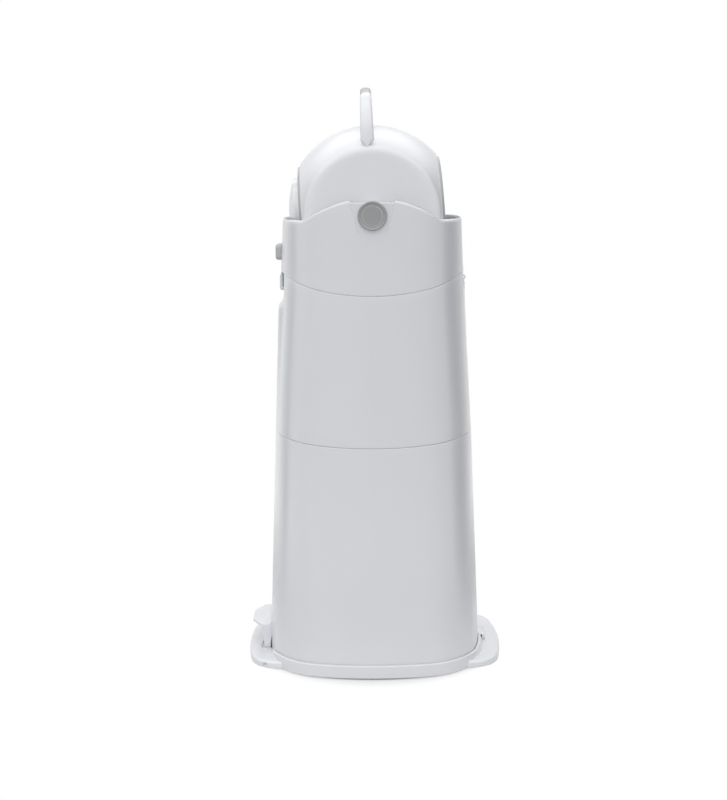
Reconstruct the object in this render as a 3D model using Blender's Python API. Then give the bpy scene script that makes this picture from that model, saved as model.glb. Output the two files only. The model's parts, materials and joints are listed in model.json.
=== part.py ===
"""A tall nappy bin with a drum that is flipped over by its handle. Metres, +Z up.
The origin is the bottom centre of the base. The front faces -Y and the pivot axis of the drum lies along X."""

import math

import bmesh
import bpy
from mathutils import Matrix, Vector

# Heights of the body, from the floor up
SEAT_Z = 0.010
LOWER_SEAM_Z = 0.288
LOWER_SEAM_DIP = 0.009
UPPER_SEAM_Z = 0.477
UPPER_SEAM_DIP = 0.020
RIM_Z = 0.544
PIVOT_Z = 0.5495

# Half sizes of the body at those heights: X is across, Y is front to rear
SEAT_HALF_X = 0.131
SEAT_HALF_Y = 0.132
LOWER_SEAM_HALF_X = 0.1245
LOWER_SEAM_HALF_Y = 0.1215
UPPER_SEAM_HALF_X = 0.117
UPPER_SEAM_HALF_Y = 0.1097
RIM_HALF_X = 0.1155
RIM_HALF_Y = 0.109

# The body's outline is a rounded square whose sides bow outwards
BOW_SHARE = 0.18
CORNER_SHARE = 0.35
SIDE_SHARES = (0.0, 0.21, 0.42)
CORNER_STEPS = 5

# Walls, and the clearances between pieces
BODY_WALL = 0.0028
HEAD_WALL = 0.0024
SEAM_GAP = 0.0003
FIT_GAP = 0.0003
RUN_GAP = 0.0014
OVERRUN = 0.010
EDGE_ROUND = 0.0008
SPIGOT_INSET = 0.0015
LOWER_SPIGOT_H = 0.005
UPPER_SPIGOT_H = 0.0035
ROUND_STEPS = 24
SMALL_STEPS = 12
TINY_STEPS = 10
COIL_STEPS = 8

# Base plate: a lobe at the front and one at the rear, and a kerb that the bucket stands in
FOOT_GAP = 0.0015
LOBE_OUT = 0.025
LOBE_REACH = SEAT_HALF_Y + LOBE_OUT
LOBE_HALF_X = 0.092
LOBE_CORNER_R = 0.038
LOBE_END_R = 0.371
LOBE_END_STEPS = 3
LOBE_CORNER_STEPS = 5
KERB_W_X = 0.004
KERB_W_Y = 0.003
KERB_HALF_X = SEAT_HALF_X + KERB_W_X
KERB_HALF_Y = SEAT_HALF_Y + KERB_W_Y
KERB_Z = 0.016
KERB_CLEARANCE = 0.0004
BASE_SKIN = 0.0025
BASE_EDGE_ROUND = 0.002
RIB_W = 0.002
RIB_PITCH = 0.052
RIB_PLACES = (-2, -1, 0, 1, 2)
FOOT_R = 0.008
FOOT_H = 0.0035
FOOT_BOSS_R = 0.011
FRONT_FOOT_INSET = 0.024
REAR_FOOT_INSET = 0.020
END_FOOT_INSET = 0.026
SIDE_FOOT_INSET = 0.015

# Foot catch at the front of the base
TREAD_Z = 0.040
TREAD_T = 0.003
TREAD_HALF_X = 0.042
TREAD_TIP_HALF_X = 0.016
TREAD_TIP_OUT = 0.0215
TREAD_SHOULDER_OUT = 0.010
TREAD_WALL_GAP = 0.0006
NOSE_HALF_X = 0.032
NOSE_REACH = 0.0022
NOSE_SLOT_GAP = 0.0009
CATCH_PIN_OUT = 0.002
CATCH_PIN_Y = SEAT_HALF_Y + CATCH_PIN_OUT
CATCH_PIN_Z = 0.0055
CATCH_PIN_R = 0.0024
CATCH_PIN_INSET = 0.0015
CATCH_PIN_HALF_L = LOBE_HALF_X - CATCH_PIN_INSET
CATCH_HUB_R = 0.0042
CATCH_LEG_T = 0.004
CATCH_LEG_TOP_W = 0.011
CATCH_LEG_FOOT_W = 0.0068
CATCH_WEB_T = 0.0024
CATCH_WEB_Z = 0.013
CATCH_SLOT_GAP_X = 0.002
CATCH_SLOT_FRONT_GAP = 0.0078
CATCH_SLOT_REAR_GAP = 0.0048
CATCH_SPRING_TURNS = 3
CATCH_SPRING_R = 0.0036
CATCH_SPRING_WIRE_R = 0.0005
CATCH_SPRING_L = 0.009

# Hook at the rear foot of the bucket
HOOK_HALF_X = 0.016
HOOK_REACH = 0.0072
HOOK_T = 0.0026
HOOK_TOP_Z = 0.0195
HOOK_FOOT_Z = 0.0055
HOOK_GAP = 0.001

# Raised panel and finger recess down the front of the middle section
PANEL_TOP_Z = 0.437
PANEL_PROUD = 0.0038
RECESS_FOOT_Z = 0.447
RECESS_DEPTH = 0.0026
RECESS_TOP_DEPTH = 0.0007
PANEL_FULL_SHARE = 0.37

# Bag ring and the ledge that carries it
LEDGE_Z = 0.431
LEDGE_T = 0.0025
LEDGE_REACH = 0.0045
BAG_RING_GAP = 0.0006
BAG_RING_T = 0.003
BAG_RING_W = 0.014
BAG_COLLAR_T = 0.002
BAG_COLLAR_H = 0.026

# Drum: a barrel turned about the pivot axis, cut flat at both ends of its chamber
DRUM_R = 0.105
DRUM_ELLIPSE_X = 0.135
DRUM_SHOULDER_X = 0.087
DRUM_FACE_X = 0.092
DRUM_FACE_R = 0.0765
DRUM_FILLET_DROP = 0.0014
DRUM_END = 0.084
DRUM_WALL = 0.0025
DRUM_TILT_DEG = 4.0
BARREL_SHARES = (0.0, 0.30, 0.58, 0.82, 1.0)
BARREL_STEPS = 32
INNER_BARREL_STEPS = 20
TUBE_R = 0.053
TUBE_WALL = 0.003
TUBE_END_SETBACK = 0.0053
TUBE_HALF_L = DRUM_END - TUBE_END_SETBACK
NECK_R = 0.0492
CHAMBER_STEPS = 28
PISTON_STEPS = 24
END_RIM_HALF_X = 0.0715
END_RIM_HALF_Z = 0.0575
END_RIM_T = 0.0026
END_RIM_EDGE = 0.001

# Piston that slides in the chamber
PISTON_FLANGE_HALF_L = 0.015
PISTON_RUN_GAP = 0.0008
WIPER_Y = 0.0095
WIPER_W = 0.003
WIPER_DEPTH = 0.0028
WIPER_GAP = 0.0006
PISTON_FACE_R = 0.0485
PISTON_FACE_EDGE = 0.0135
PISTON_FACE_CROWN = 0.0222
PISTON_FACE_WALL = 0.0025
DOME_SHARES = (0.94, 0.72, 0.38, 0.04)
WEIGHT_R = 0.020
WEIGHT_RECESS = 0.001

# Trunnions, keepers and badges on the pivot axis
TRUNNION_R = 0.0097
TRUNNION_FLANGE_R = 0.017
TRUNNION_FLANGE_T = 0.0025
TRUNNION_END_X = 0.1095
TRUNNION_SPIGOT_R = 0.006
TRUNNION_SPIGOT_L = 0.005
TRUNNION_RUN_GAP = 0.0003
KEEPER_TOP_Z = 0.566
KEEPER_H = 0.038
KEEPER_TOP_HALF = 0.026
KEEPER_FOOT_HALF = 0.016
KEEPER_PROUD = 0.0006
KEEPER_T = 0.00396
KEEPER_BOSS_LAP = 0.00048
KEEPER_FLANGE_LAP = 0.005
KEEPER_FLANGE_T = 0.0025
KEEPER_BOSS_R = 0.015
KEEPER_BOSS_GAP = 0.0017
BADGE_R = 0.0175
BADGE_T = 0.0035
BADGE_RIM_W = 0.0025
BADGE_RIM_H = 0.0006

# Arched side walls of the head
ARCH_H = 0.026
ARCH_HALF_CHORD = 0.0806

# Cradle under the drum, its flange, its screws and its seal
CRADLE_T = 0.0024
CRADLE_FLANGE_Z = 0.5272
THROAT_R = 0.062
SEAL_W = 0.004
SEAL_RUN_GAP = 0.0006
SEAL_BLANK_TOP_Z = 0.4922
CRADLE_BOSS_Y = 0.062
CRADLE_BOSS_R = 0.0046
CRADLE_BOSS_INSET = 0.0040
CRADLE_CLEARANCE = 0.0004
CRADLE_BOSS_FOOT_Z = 0.496
SCREW_R = 0.0015
SCREW_HEAD_R = 0.0028
SCREW_HEAD_H = 0.002
SCREW_L = 0.014

# Handle: an arch from one shoulder of the drum to the other
HANDLE_R = 0.151
HANDLE_T = 0.009
HANDLE_TOP_HALF_W = 0.0065
HANDLE_FOOT_HALF_W = 0.0085
HANDLE_HALF_SPAN = 0.085
HANDLE_SPRING_Z = 0.070
HANDLE_LEAN = 0.003
HANDLE_POWER = 2.6
HANDLE_STEPS = 24
HANDLE_SECTION_SHARES = (
    (1, 0.62),
    (0.62, 1),
    (-0.62, 1),
    (-1, 0.62),
    (-1, -0.62),
    (-0.62, -1),
    (0.62, -1),
    (1, -0.62),
)
HANDLE_SCREW_X = 0.083
HANDLE_SCREW_R = 0.0018
HANDLE_SCREW_HEAD_R = 0.0034
HANDLE_SCREW_HEAD_H = 0.0025
HANDLE_SCREW_TOP_Z = 0.093
HANDLE_SCREW_HEAD_Z = 0.0725

# Rear hinge of the head
HINGE_Y = 0.1106
HINGE_Z = 0.472
KNUCKLE_R = 0.0029
KNUCKLE_PITCH = 0.010
KNUCKLES = 5
KNUCKLE_GAP = 0.0004
HINGE_PIN_R = 0.0013
HINGE_LEAF_T = 0.0026
HINGE_NOTCH_GAP = 0.0013
BRACKET_Z0 = 0.452
BRACKET_Z1 = 0.4665
BRACKET_T = 0.0018
BRACKET_SCREW_X = 0.017
BRACKET_SCREW_R = 0.0012
BRACKET_SCREW_HEAD_R = 0.0026
BRACKET_SCREW_HEAD_H = 0.0011
BRACKET_SCREW_L = 0.0062

# Latch rocker and release button at the front of the head
LATCH_AXIS_Y = 0.1035
LATCH_AXIS_Z = 0.488
LATCH_HALF_X = 0.011
LATCH_ARM_FRONT = 0.1059
LATCH_ARM_REAR = 0.1019
LATCH_ARM_TOP_Z = 0.503
LATCH_HUB_REAR = 0.0999
LATCH_HUB_HALF_H = 0.0045
TONGUE_FRONT = 0.1155
TONGUE_REAR = 0.1100
TONGUE_TOP_Z = 0.483
TONGUE_FOOT_Z = 0.453
NIB_REAR = 0.1064
NIB_TOP_Z = 0.4600
NIB_FOOT_Z = 0.4565
NIB_SLOPE = 0.0012
NIB_SLOT_GAP = 0.0012
LATCH_PIN_R = 0.0012
LATCH_LUG_X0 = 0.0178
LATCH_LUG_X1 = 0.0208
LATCH_LUG_REAR = 0.0995
LATCH_LUG_HALF_H = 0.004
LATCH_NOTCH_GAP = 0.001
LATCH_NOTCH_TOP_Z = 0.4858
LATCH_SPRING_R = 0.0023
LATCH_SPRING_WIRE_R = 0.0004
LATCH_SPRING_TURNS = 3
BUTTON_FRONT = 0.1187
BUTTON_Z0 = 0.4905
BUTTON_Z1 = 0.510
BUTTON_HALF_X = 0.0165
BUTTON_WINDOW_GAP = 0.0012
BUTTON_EDGE = 0.0012

# Finishes: colour, roughness and metallic value
WHITE = ("white_gloss_plastic", (0.80, 0.80, 0.81), 0.25, 0.0)
PALE = ("pale_liner_plastic", (0.72, 0.72, 0.73), 0.40, 0.0)
GREY = ("grey_plastic", (0.36, 0.37, 0.37), 0.45, 0.0)
RIM_GREY = ("rim_grey_plastic", (0.42, 0.42, 0.43), 0.40, 0.0)
RUBBER = ("dark_rubber", (0.06, 0.06, 0.065), 0.75, 0.0)
SOFT_GREY = ("grey_rubber", (0.22, 0.22, 0.23), 0.65, 0.0)
STEEL = ("bright_steel", (0.60, 0.60, 0.60), 0.30, 1.0)


def clear_scene():
    for item in list(bpy.data.objects):
        bpy.data.objects.remove(item, do_unlink=True)


def finish_of(look):
    name, colour, roughness, metallic = look
    found = bpy.data.materials.get(name)
    if found:
        return found
    made = bpy.data.materials.new(name)
    made.use_nodes = True
    shader = made.node_tree.nodes["Principled BSDF"]
    shader.inputs["Base Color"].default_value = (*colour, 1.0)
    shader.inputs["Roughness"].default_value = roughness
    shader.inputs["Metallic"].default_value = metallic
    return made


def as_object(name, shape, look):
    """Turns a closed bmesh into an object with outward faces and smooth rounds."""
    bmesh.ops.remove_doubles(shape, verts=shape.verts, dist=1e-6)
    bmesh.ops.recalc_face_normals(shape, faces=shape.faces)
    mesh = bpy.data.meshes.new(name)
    shape.to_mesh(mesh)
    shape.free()
    mesh.shade_smooth()
    mesh.set_sharp_from_angle(angle=math.radians(30))
    mesh.materials.append(finish_of(look))
    made = bpy.data.objects.new(name, mesh)
    bpy.context.scene.collection.objects.link(made)
    return made


def combine(target, tool, operation):
    """Applies one exact Boolean to target and removes the tool."""
    step = target.modifiers.new("combine", "BOOLEAN")
    step.operation = operation
    step.solver = "EXACT"
    step.object = tool
    graph = bpy.context.evaluated_depsgraph_get()
    mesh = bpy.data.meshes.new_from_object(target.evaluated_get(graph))
    old = target.data
    target.modifiers.remove(step)
    target.data = mesh
    mesh.name = target.name
    bpy.data.meshes.remove(old)
    bpy.data.objects.remove(tool, do_unlink=True)
    return target


def add(target, *tools):
    for tool in tools:
        combine(target, tool, "UNION")
    return target


def cut(target, *tools):
    for tool in tools:
        combine(target, tool, "DIFFERENCE")
    return target


def keep(target, *tools):
    for tool in tools:
        combine(target, tool, "INTERSECT")
    return target


def loft(name, rings, look, closed=False):
    """Skins rings of equally many points. An open run is capped at both ends, a closed one meets itself."""
    shape = bmesh.new()
    rows = [[shape.verts.new(point) for point in ring] for ring in rings]
    count = len(rows[0])
    pairs = list(zip(rows, rows[1:]))
    if closed:
        pairs.append((rows[-1], rows[0]))
    else:
        shape.faces.new(rows[0])
        shape.faces.new(rows[-1])
    for low, high in pairs:
        for i in range(count):
            j = (i + 1) % count
            shape.faces.new((low[i], low[j], high[j], high[i]))
    return as_object(name, shape, look)


def box(name, low, high, look=WHITE):
    corners = [(low[0], low[1]), (high[0], low[1]), (high[0], high[1]), (low[0], high[1])]
    return loft(name, [[(x, y, z) for x, y in corners] for z in (low[2], high[2])], look)


def prism_x(name, outline, x0, x1, look=WHITE):
    """A (y, z) outline pushed along X."""
    return loft(name, [[(x, y, z) for y, z in outline] for x in (x0, x1)], look)


def circle(radius, steps=ROUND_STEPS):
    return [
        (radius * math.cos(math.tau * i / steps), radius * math.sin(math.tau * i / steps))
        for i in range(steps)
    ]


def turned(name, profile, axis, look, centre=(0, 0, 0), steps=ROUND_STEPS, closed=False):
    """Turns (place along the axis, radius) points about an axis. A closed profile leaves a bore."""
    rings = []
    for along, radius in profile:
        ring = []
        for a, b in circle(radius, steps):
            point = {"X": (along, a, b), "Y": (b, along, a), "Z": (a, b, along)}[axis]
            ring.append(Vector(point) + Vector(centre))
        rings.append(ring)
    return loft(name, rings, look, closed)


def rod(name, axis, centre, radius, start, end, look=STEEL, steps=ROUND_STEPS):
    return turned(name, [(start, radius), (end, radius)], axis, look, centre, steps)


def coil(name, centre, radius, wire_r, length, turns, look):
    """A spring about an X axis. Its turns follow a helix."""
    path = bpy.data.curves.new(name, "CURVE")
    path.dimensions = "3D"
    path.bevel_depth = wire_r
    path.bevel_resolution = 1
    path.use_fill_caps = True
    steps = turns * COIL_STEPS
    line = path.splines.new("POLY")
    line.points.add(steps)
    for i, point in enumerate(line.points):
        turn = math.tau * turns * i / steps
        x = centre[0] - length / 2 + length * i / steps
        y = centre[1] + radius * math.cos(turn)
        z = centre[2] + radius * math.sin(turn)
        point.co = (x, y, z, 1.0)
    path.materials.append(finish_of(look))
    made = bpy.data.objects.new(name, path)
    bpy.context.scene.collection.objects.link(made)
    pitch = length / turns
    print(f"{name}: least gap between its turns {1000 * (pitch - 2 * wire_r):.2f} mm")
    return made


def bowed_outline():
    """The body's outline as shares of its half sizes, from the middle of the front round by +X."""
    core = 1 / (1 + BOW_SHARE)
    start = core * (1 - CORNER_SHARE)
    radius = core * CORNER_SHARE
    quarter = [(share * core, -core) for share in SIDE_SHARES]
    for i in range(CORNER_STEPS + 1):
        angle = math.radians(90 * i / CORNER_STEPS)
        quarter.append((start + radius * math.sin(angle), -start - radius * math.cos(angle)))
    quarter += [(core, -share * core) for share in reversed(SIDE_SHARES[1:])]
    points = []
    for turn in range(4):
        for x, y in quarter:
            for _ in range(turn):
                x, y = -y, x
            points.append((x, y))
    return [
        (
            x * (1 + BOW_SHARE * (1 - (y / core) ** 2)),
            y * (1 + BOW_SHARE * (1 - (x / core) ** 2)),
        )
        for x, y in points
    ]


OUTLINE = bowed_outline()
LEVELS = (
    (SEAT_Z, SEAT_HALF_X, SEAT_HALF_Y),
    (LOWER_SEAM_Z, LOWER_SEAM_HALF_X, LOWER_SEAM_HALF_Y),
    (UPPER_SEAM_Z, UPPER_SEAM_HALF_X, UPPER_SEAM_HALF_Y),
    (RIM_Z, RIM_HALF_X, RIM_HALF_Y),
)


def half_sizes(z):
    """The body's half sizes at a height: straight tapers from one level to the next."""
    pairs = list(zip(LEVELS, LEVELS[1:]))
    low, high = next((p for p in pairs if z <= p[1][0]), pairs[-1])
    share = (z - low[0]) / (high[0] - low[0])
    return tuple(a + (b - a) * share for a, b in zip(low[1:], high[1:]))


def lower_seam(u, v):
    return LOWER_SEAM_Z - LOWER_SEAM_DIP * (1 - v * v)


def upper_seam(u, v):
    return UPPER_SEAM_Z - UPPER_SEAM_DIP * (1 - v * v)


def head_top(u, v):
    """The head's top edge: a level rim at front and rear, and an arch on each side wall."""
    y = abs(v) * RIM_HALF_Y
    if y >= ARCH_HALF_CHORD or abs(u) < abs(v):
        return RIM_Z
    radius = (ARCH_HALF_CHORD**2 + ARCH_H**2) / (2 * ARCH_H)
    return RIM_Z + ARCH_H - radius + math.sqrt(radius**2 - y**2)


def no_relief(u, v, z):
    return 0


def front_relief(u, v, z):
    """How far the middle section's front stands out of its straight taper."""
    if v > 0 or abs(u) > PANEL_FULL_SHARE:
        return 0
    steps = (
        (LOWER_SEAM_Z, 0),
        (PANEL_TOP_Z, PANEL_PROUD),
        (RECESS_FOOT_Z, -RECESS_DEPTH),
        (UPPER_SEAM_Z, -RECESS_TOP_DEPTH),
    )
    if z <= LOWER_SEAM_Z:
        return 0
    for (z0, d0), (z1, d1) in zip(steps, steps[1:]):
        if z <= z1:
            return d0 + (d1 - d0) * (z - z0) / (z1 - z0)
    return -RECESS_TOP_DEPTH


def body_ring(inset, height, rise=0, relief=no_relief):
    """A ring round the body. The height is a number or a seam, and rise lifts it."""
    ring = []
    for u, v in OUTLINE:
        z = (height(u, v) if callable(height) else height) + rise
        half_x, half_y = half_sizes(z)
        y = (half_y - inset) * v - relief(u, v, z)
        ring.append((u * (half_x - inset), y, z))
    return ring


def outline_ring(half_x, half_y, z):
    return [(u * half_x, v * half_y, z) for u, v in OUTLINE]


def wall_x(y, z, inset=0):
    """The body's half width at a place on its side wall."""
    half_x, half_y = half_sizes(z)
    side = [(v * half_y, u * half_x) for u, v in OUTLINE if u > abs(v)]
    for (y0, x0), (y1, x1) in zip(side, side[1:]):
        if y0 <= y <= y1:
            return x0 + (x1 - x0) * (y - y0) / (y1 - y0) - inset
    return side[0][1] - inset


def barrel_radius(x):
    return DRUM_R * math.sqrt(1 - (x / DRUM_ELLIPSE_X) ** 2)


def barrel(name, grow, look=WHITE, steps=BARREL_STEPS):
    """The drum's turned shape, larger all round by grow."""
    places = [share * DRUM_SHOULDER_X for share in BARREL_SHARES]
    half = [(x, barrel_radius(x) + grow) for x in places]
    shoulder_r = barrel_radius(DRUM_SHOULDER_X)
    fillet_r = (shoulder_r + DRUM_FACE_R) / 2 + grow
    half.append((DRUM_FACE_X - DRUM_FILLET_DROP + grow, fillet_r))
    half.append((DRUM_FACE_X + grow, DRUM_FACE_R + grow))
    profile = [(-x, r) for x, r in reversed(half[1:])] + half
    return turned(name, profile, "X", look, steps=steps)


def lobe_outline(inset, z):
    """The base plate's two lobes: straight sides, round corners and gently curved ends."""
    half_x = LOBE_HALF_X - inset
    reach = LOBE_REACH - inset
    corner_r = LOBE_CORNER_R - inset
    end_r = LOBE_END_R - inset
    corner_x = half_x - corner_r
    corner_y = reach - end_r + math.sqrt((end_r - corner_r) ** 2 - corner_x**2)
    tangent = math.asin(corner_x / (end_r - corner_r))
    quarter = []
    for i in range(LOBE_END_STEPS):
        angle = tangent * i / LOBE_END_STEPS
        quarter.append((end_r * math.sin(angle), reach - end_r + end_r * math.cos(angle)))
    for i in range(LOBE_CORNER_STEPS + 1):
        angle = tangent + (math.pi / 2 - tangent) * i / LOBE_CORNER_STEPS
        quarter.append((corner_x + corner_r * math.sin(angle), corner_y + corner_r * math.cos(angle)))
    right = quarter + [(x, -y) for x, y in reversed(quarter)]
    left = [(-x, y) for x, y in reversed(right) if x > 0]
    return [(x, y, z) for x, y in right + left]


def foot_places():
    end_x = LOBE_HALF_X - END_FOOT_INSET
    side_x = SEAT_HALF_X - SIDE_FOOT_INSET
    places = [(x, FRONT_FOOT_INSET - SEAT_HALF_Y) for x in (-end_x, end_x)]
    places += [(x, LOBE_REACH - REAR_FOOT_INSET) for x in (-end_x, end_x)]
    return places + [(x, 0) for x in (-side_x, side_x)]


def base_plate():
    """One moulding: a skin with a skirt, the kerb, ribs and foot bosses below, and the catch's slot."""
    lobes = [(0, FOOT_GAP), (0, SEAT_Z - BASE_EDGE_ROUND), (BASE_EDGE_ROUND, SEAT_Z)]
    plate = loft("base_plate", [lobe_outline(i, z) for i, z in lobes], WHITE)
    kerb = [(0, FOOT_GAP), (0, KERB_Z - EDGE_ROUND), (EDGE_ROUND, KERB_Z)]
    kerb_rings = [outline_ring(KERB_HALF_X - i, KERB_HALF_Y - i, z) for i, z in kerb]
    add(plate, loft("kerb", kerb_rings, WHITE))
    well_x = SEAT_HALF_X + KERB_CLEARANCE
    well_y = SEAT_HALF_Y + KERB_CLEARANCE
    well_rings = [outline_ring(well_x, well_y, z) for z in (SEAT_Z, KERB_Z + OVERRUN)]
    cut(plate, loft("well", well_rings, WHITE))
    under = SEAT_Z - BASE_SKIN
    cut(plate, loft("under_lobes", [lobe_outline(BASE_SKIN, z) for z in (-OVERRUN, under)], WHITE))
    inner_x = KERB_HALF_X - BASE_SKIN
    inner_y = KERB_HALF_Y - BASE_SKIN
    under_rings = [outline_ring(inner_x, inner_y, z) for z in (-OVERRUN, under)]
    cut(plate, loft("under_kerb", under_rings, WHITE))
    rib_top = under + BASE_SKIN / 2
    for i in RIB_PLACES[1:-1]:
        at = i * RIB_PITCH
        end_fall = at**2 / (2 * LOBE_END_R)
        reach_y = LOBE_REACH - BASE_SKIN / 2 - end_fall
        rib_low = (at - RIB_W / 2, -reach_y, FOOT_GAP)
        add(plate, box("rib", rib_low, (at + RIB_W / 2, reach_y, rib_top)))
    for i in RIB_PLACES:
        if i == 0:
            continue
        at = i * RIB_PITCH
        reach_x = LOBE_HALF_X - BASE_SKIN / 2
        add(plate, box("rib", (-reach_x, at - RIB_W / 2, FOOT_GAP), (reach_x, at + RIB_W / 2, rib_top)))
    for x, y in foot_places():
        add(plate, rod("boss", "Z", (x, y, 0), FOOT_BOSS_R, FOOT_GAP, rib_top, steps=SMALL_STEPS))
        socket_top = FOOT_H + FIT_GAP
        cut(plate, rod("socket", "Z", (x, y, 0), FOOT_R + FIT_GAP, -OVERRUN, socket_top, steps=SMALL_STEPS))
    slot_x = TREAD_HALF_X + CATCH_SLOT_GAP_X
    slot_low = (-slot_x, -CATCH_PIN_Y - CATCH_SLOT_FRONT_GAP, -OVERRUN)
    slot_high = (slot_x, -CATCH_PIN_Y + CATCH_SLOT_REAR_GAP, KERB_Z + OVERRUN)
    cut(plate, box("slot", slot_low, slot_high))
    pin_centre = (0, -CATCH_PIN_Y, CATCH_PIN_Z)
    reach = CATCH_PIN_HALF_L + OVERRUN
    cut(plate, rod("pin_hole", "X", pin_centre, CATCH_PIN_R + FIT_GAP, -reach, reach, steps=TINY_STEPS))
    hook_x = HOOK_HALF_X + HOOK_GAP
    hook_y = SEAT_HALF_Y + HOOK_REACH + HOOK_GAP
    cut(plate, box("pocket", (-hook_x, SEAT_HALF_Y, -OVERRUN), (hook_x, hook_y, KERB_Z + OVERRUN)))
    return plate


def base_feet():
    for i, (x, y) in enumerate(foot_places(), 1):
        rod(f"base_foot_{i}", "Z", (x, y, 0), FOOT_R, 0, FOOT_H, RUBBER, SMALL_STEPS)


def catch_pin():
    pin = (0, -CATCH_PIN_Y, CATCH_PIN_Z)
    half = CATCH_PIN_HALF_L - CATCH_PIN_R
    return rod("catch_pin", "X", pin, CATCH_PIN_R, -half, half, STEEL, SMALL_STEPS)


def foot_catch():
    """The tread, its two legs, the web between them and the hubs on the pin."""
    wall_y = half_sizes(TREAD_Z)[1] + TREAD_WALL_GAP
    shoulder_y = SEAT_HALF_Y + TREAD_SHOULDER_OUT
    tip_y = SEAT_HALF_Y + TREAD_TIP_OUT
    outline = [(TREAD_HALF_X, -wall_y), (TREAD_HALF_X, -shoulder_y)]
    outline += [(TREAD_TIP_HALF_X, -tip_y), (-TREAD_TIP_HALF_X, -tip_y)]
    outline += [(-TREAD_HALF_X, -shoulder_y), (-TREAD_HALF_X, -wall_y)]
    low = TREAD_Z - TREAD_T
    catch = loft("foot_catch", [[(x, y, z) for x, y in outline] for z in (low, TREAD_Z)], WHITE)
    nose_y = -half_sizes(TREAD_Z)[1] + NOSE_REACH
    nose_low = (-NOSE_HALF_X, -wall_y - TREAD_T, low)
    add(catch, box("nose", nose_low, (NOSE_HALF_X, nose_y, TREAD_Z)))
    top_mid = -(wall_y + CATCH_LEG_TOP_W / 2)
    leg = [
        (top_mid - CATCH_LEG_TOP_W / 2, low + TREAD_T / 2),
        (-CATCH_PIN_Y - CATCH_LEG_FOOT_W / 2, CATCH_PIN_Z),
        (-CATCH_PIN_Y + CATCH_LEG_FOOT_W / 2, CATCH_PIN_Z),
        (top_mid + CATCH_LEG_TOP_W / 2, low + TREAD_T / 2),
    ]
    pin = (0, -CATCH_PIN_Y, CATCH_PIN_Z)
    for side in (-1, 1):
        outer = side * TREAD_HALF_X
        inner = side * (TREAD_HALF_X - CATCH_LEG_T)
        x0, x1 = sorted((outer, inner))
        add(catch, prism_x("leg", leg, x0, x1))
        add(catch, rod("hub", "X", pin, CATCH_HUB_R, x0, x1, steps=SMALL_STEPS))
    web_x = TREAD_HALF_X - CATCH_LEG_T / 2
    web_y = -CATCH_PIN_Y - CATCH_WEB_T / 2
    web_top = (web_x, web_y + CATCH_WEB_T, low + TREAD_T / 2)
    add(catch, box("web", (-web_x, web_y, CATCH_WEB_Z), web_top))
    reach = TREAD_HALF_X + OVERRUN
    return cut(catch, rod("bore", "X", pin, CATCH_PIN_R + FIT_GAP, -reach, reach, steps=TINY_STEPS))


def catch_spring():
    place = (TREAD_HALF_X - CATCH_LEG_T - CATCH_SPRING_L, -CATCH_PIN_Y, CATCH_PIN_Z)
    wire = CATCH_SPRING_WIRE_R
    return coil("catch_spring", place, CATCH_SPRING_R, wire, CATCH_SPRING_L, CATCH_SPRING_TURNS, STEEL)


def lower_bucket():
    """The bin's lower body: a tapered bucket with a floor and a locating rim at its top."""
    floor = SEAT_Z + SEAM_GAP
    rings = [body_ring(EDGE_ROUND, floor), body_ring(0, floor + EDGE_ROUND)]
    rings += [body_ring(0, lower_seam, -EDGE_ROUND / 2), body_ring(EDGE_ROUND / 2, lower_seam)]
    rings += [body_ring(SPIGOT_INSET, lower_seam), body_ring(SPIGOT_INSET, lower_seam, LOWER_SPIGOT_H)]
    rings += [body_ring(BODY_WALL, lower_seam, LOWER_SPIGOT_H), body_ring(BODY_WALL, floor + BODY_WALL)]
    bucket = loft("lower_bucket", rings, WHITE)
    nose_x = NOSE_HALF_X + NOSE_SLOT_GAP
    slot_low = (-nose_x, -SEAT_HALF_Y - OVERRUN, TREAD_Z - TREAD_T - NOSE_SLOT_GAP)
    slot_high = (nose_x, -SEAT_HALF_Y + OVERRUN, TREAD_Z + NOSE_SLOT_GAP)
    cut(bucket, box("nose_slot", slot_low, slot_high))
    inner_y = SEAT_HALF_Y - BODY_WALL / 2
    reach_y = SEAT_HALF_Y + HOOK_REACH
    outline = [(inner_y, HOOK_TOP_Z - HOOK_T), (inner_y, HOOK_TOP_Z), (reach_y, HOOK_TOP_Z)]
    outline += [(reach_y, HOOK_FOOT_Z), (reach_y - HOOK_T, HOOK_FOOT_Z)]
    outline += [(reach_y - HOOK_T, HOOK_TOP_Z - HOOK_T)]
    return add(bucket, prism_x("hook", outline, -HOOK_HALF_X, HOOK_HALF_X))


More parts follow.
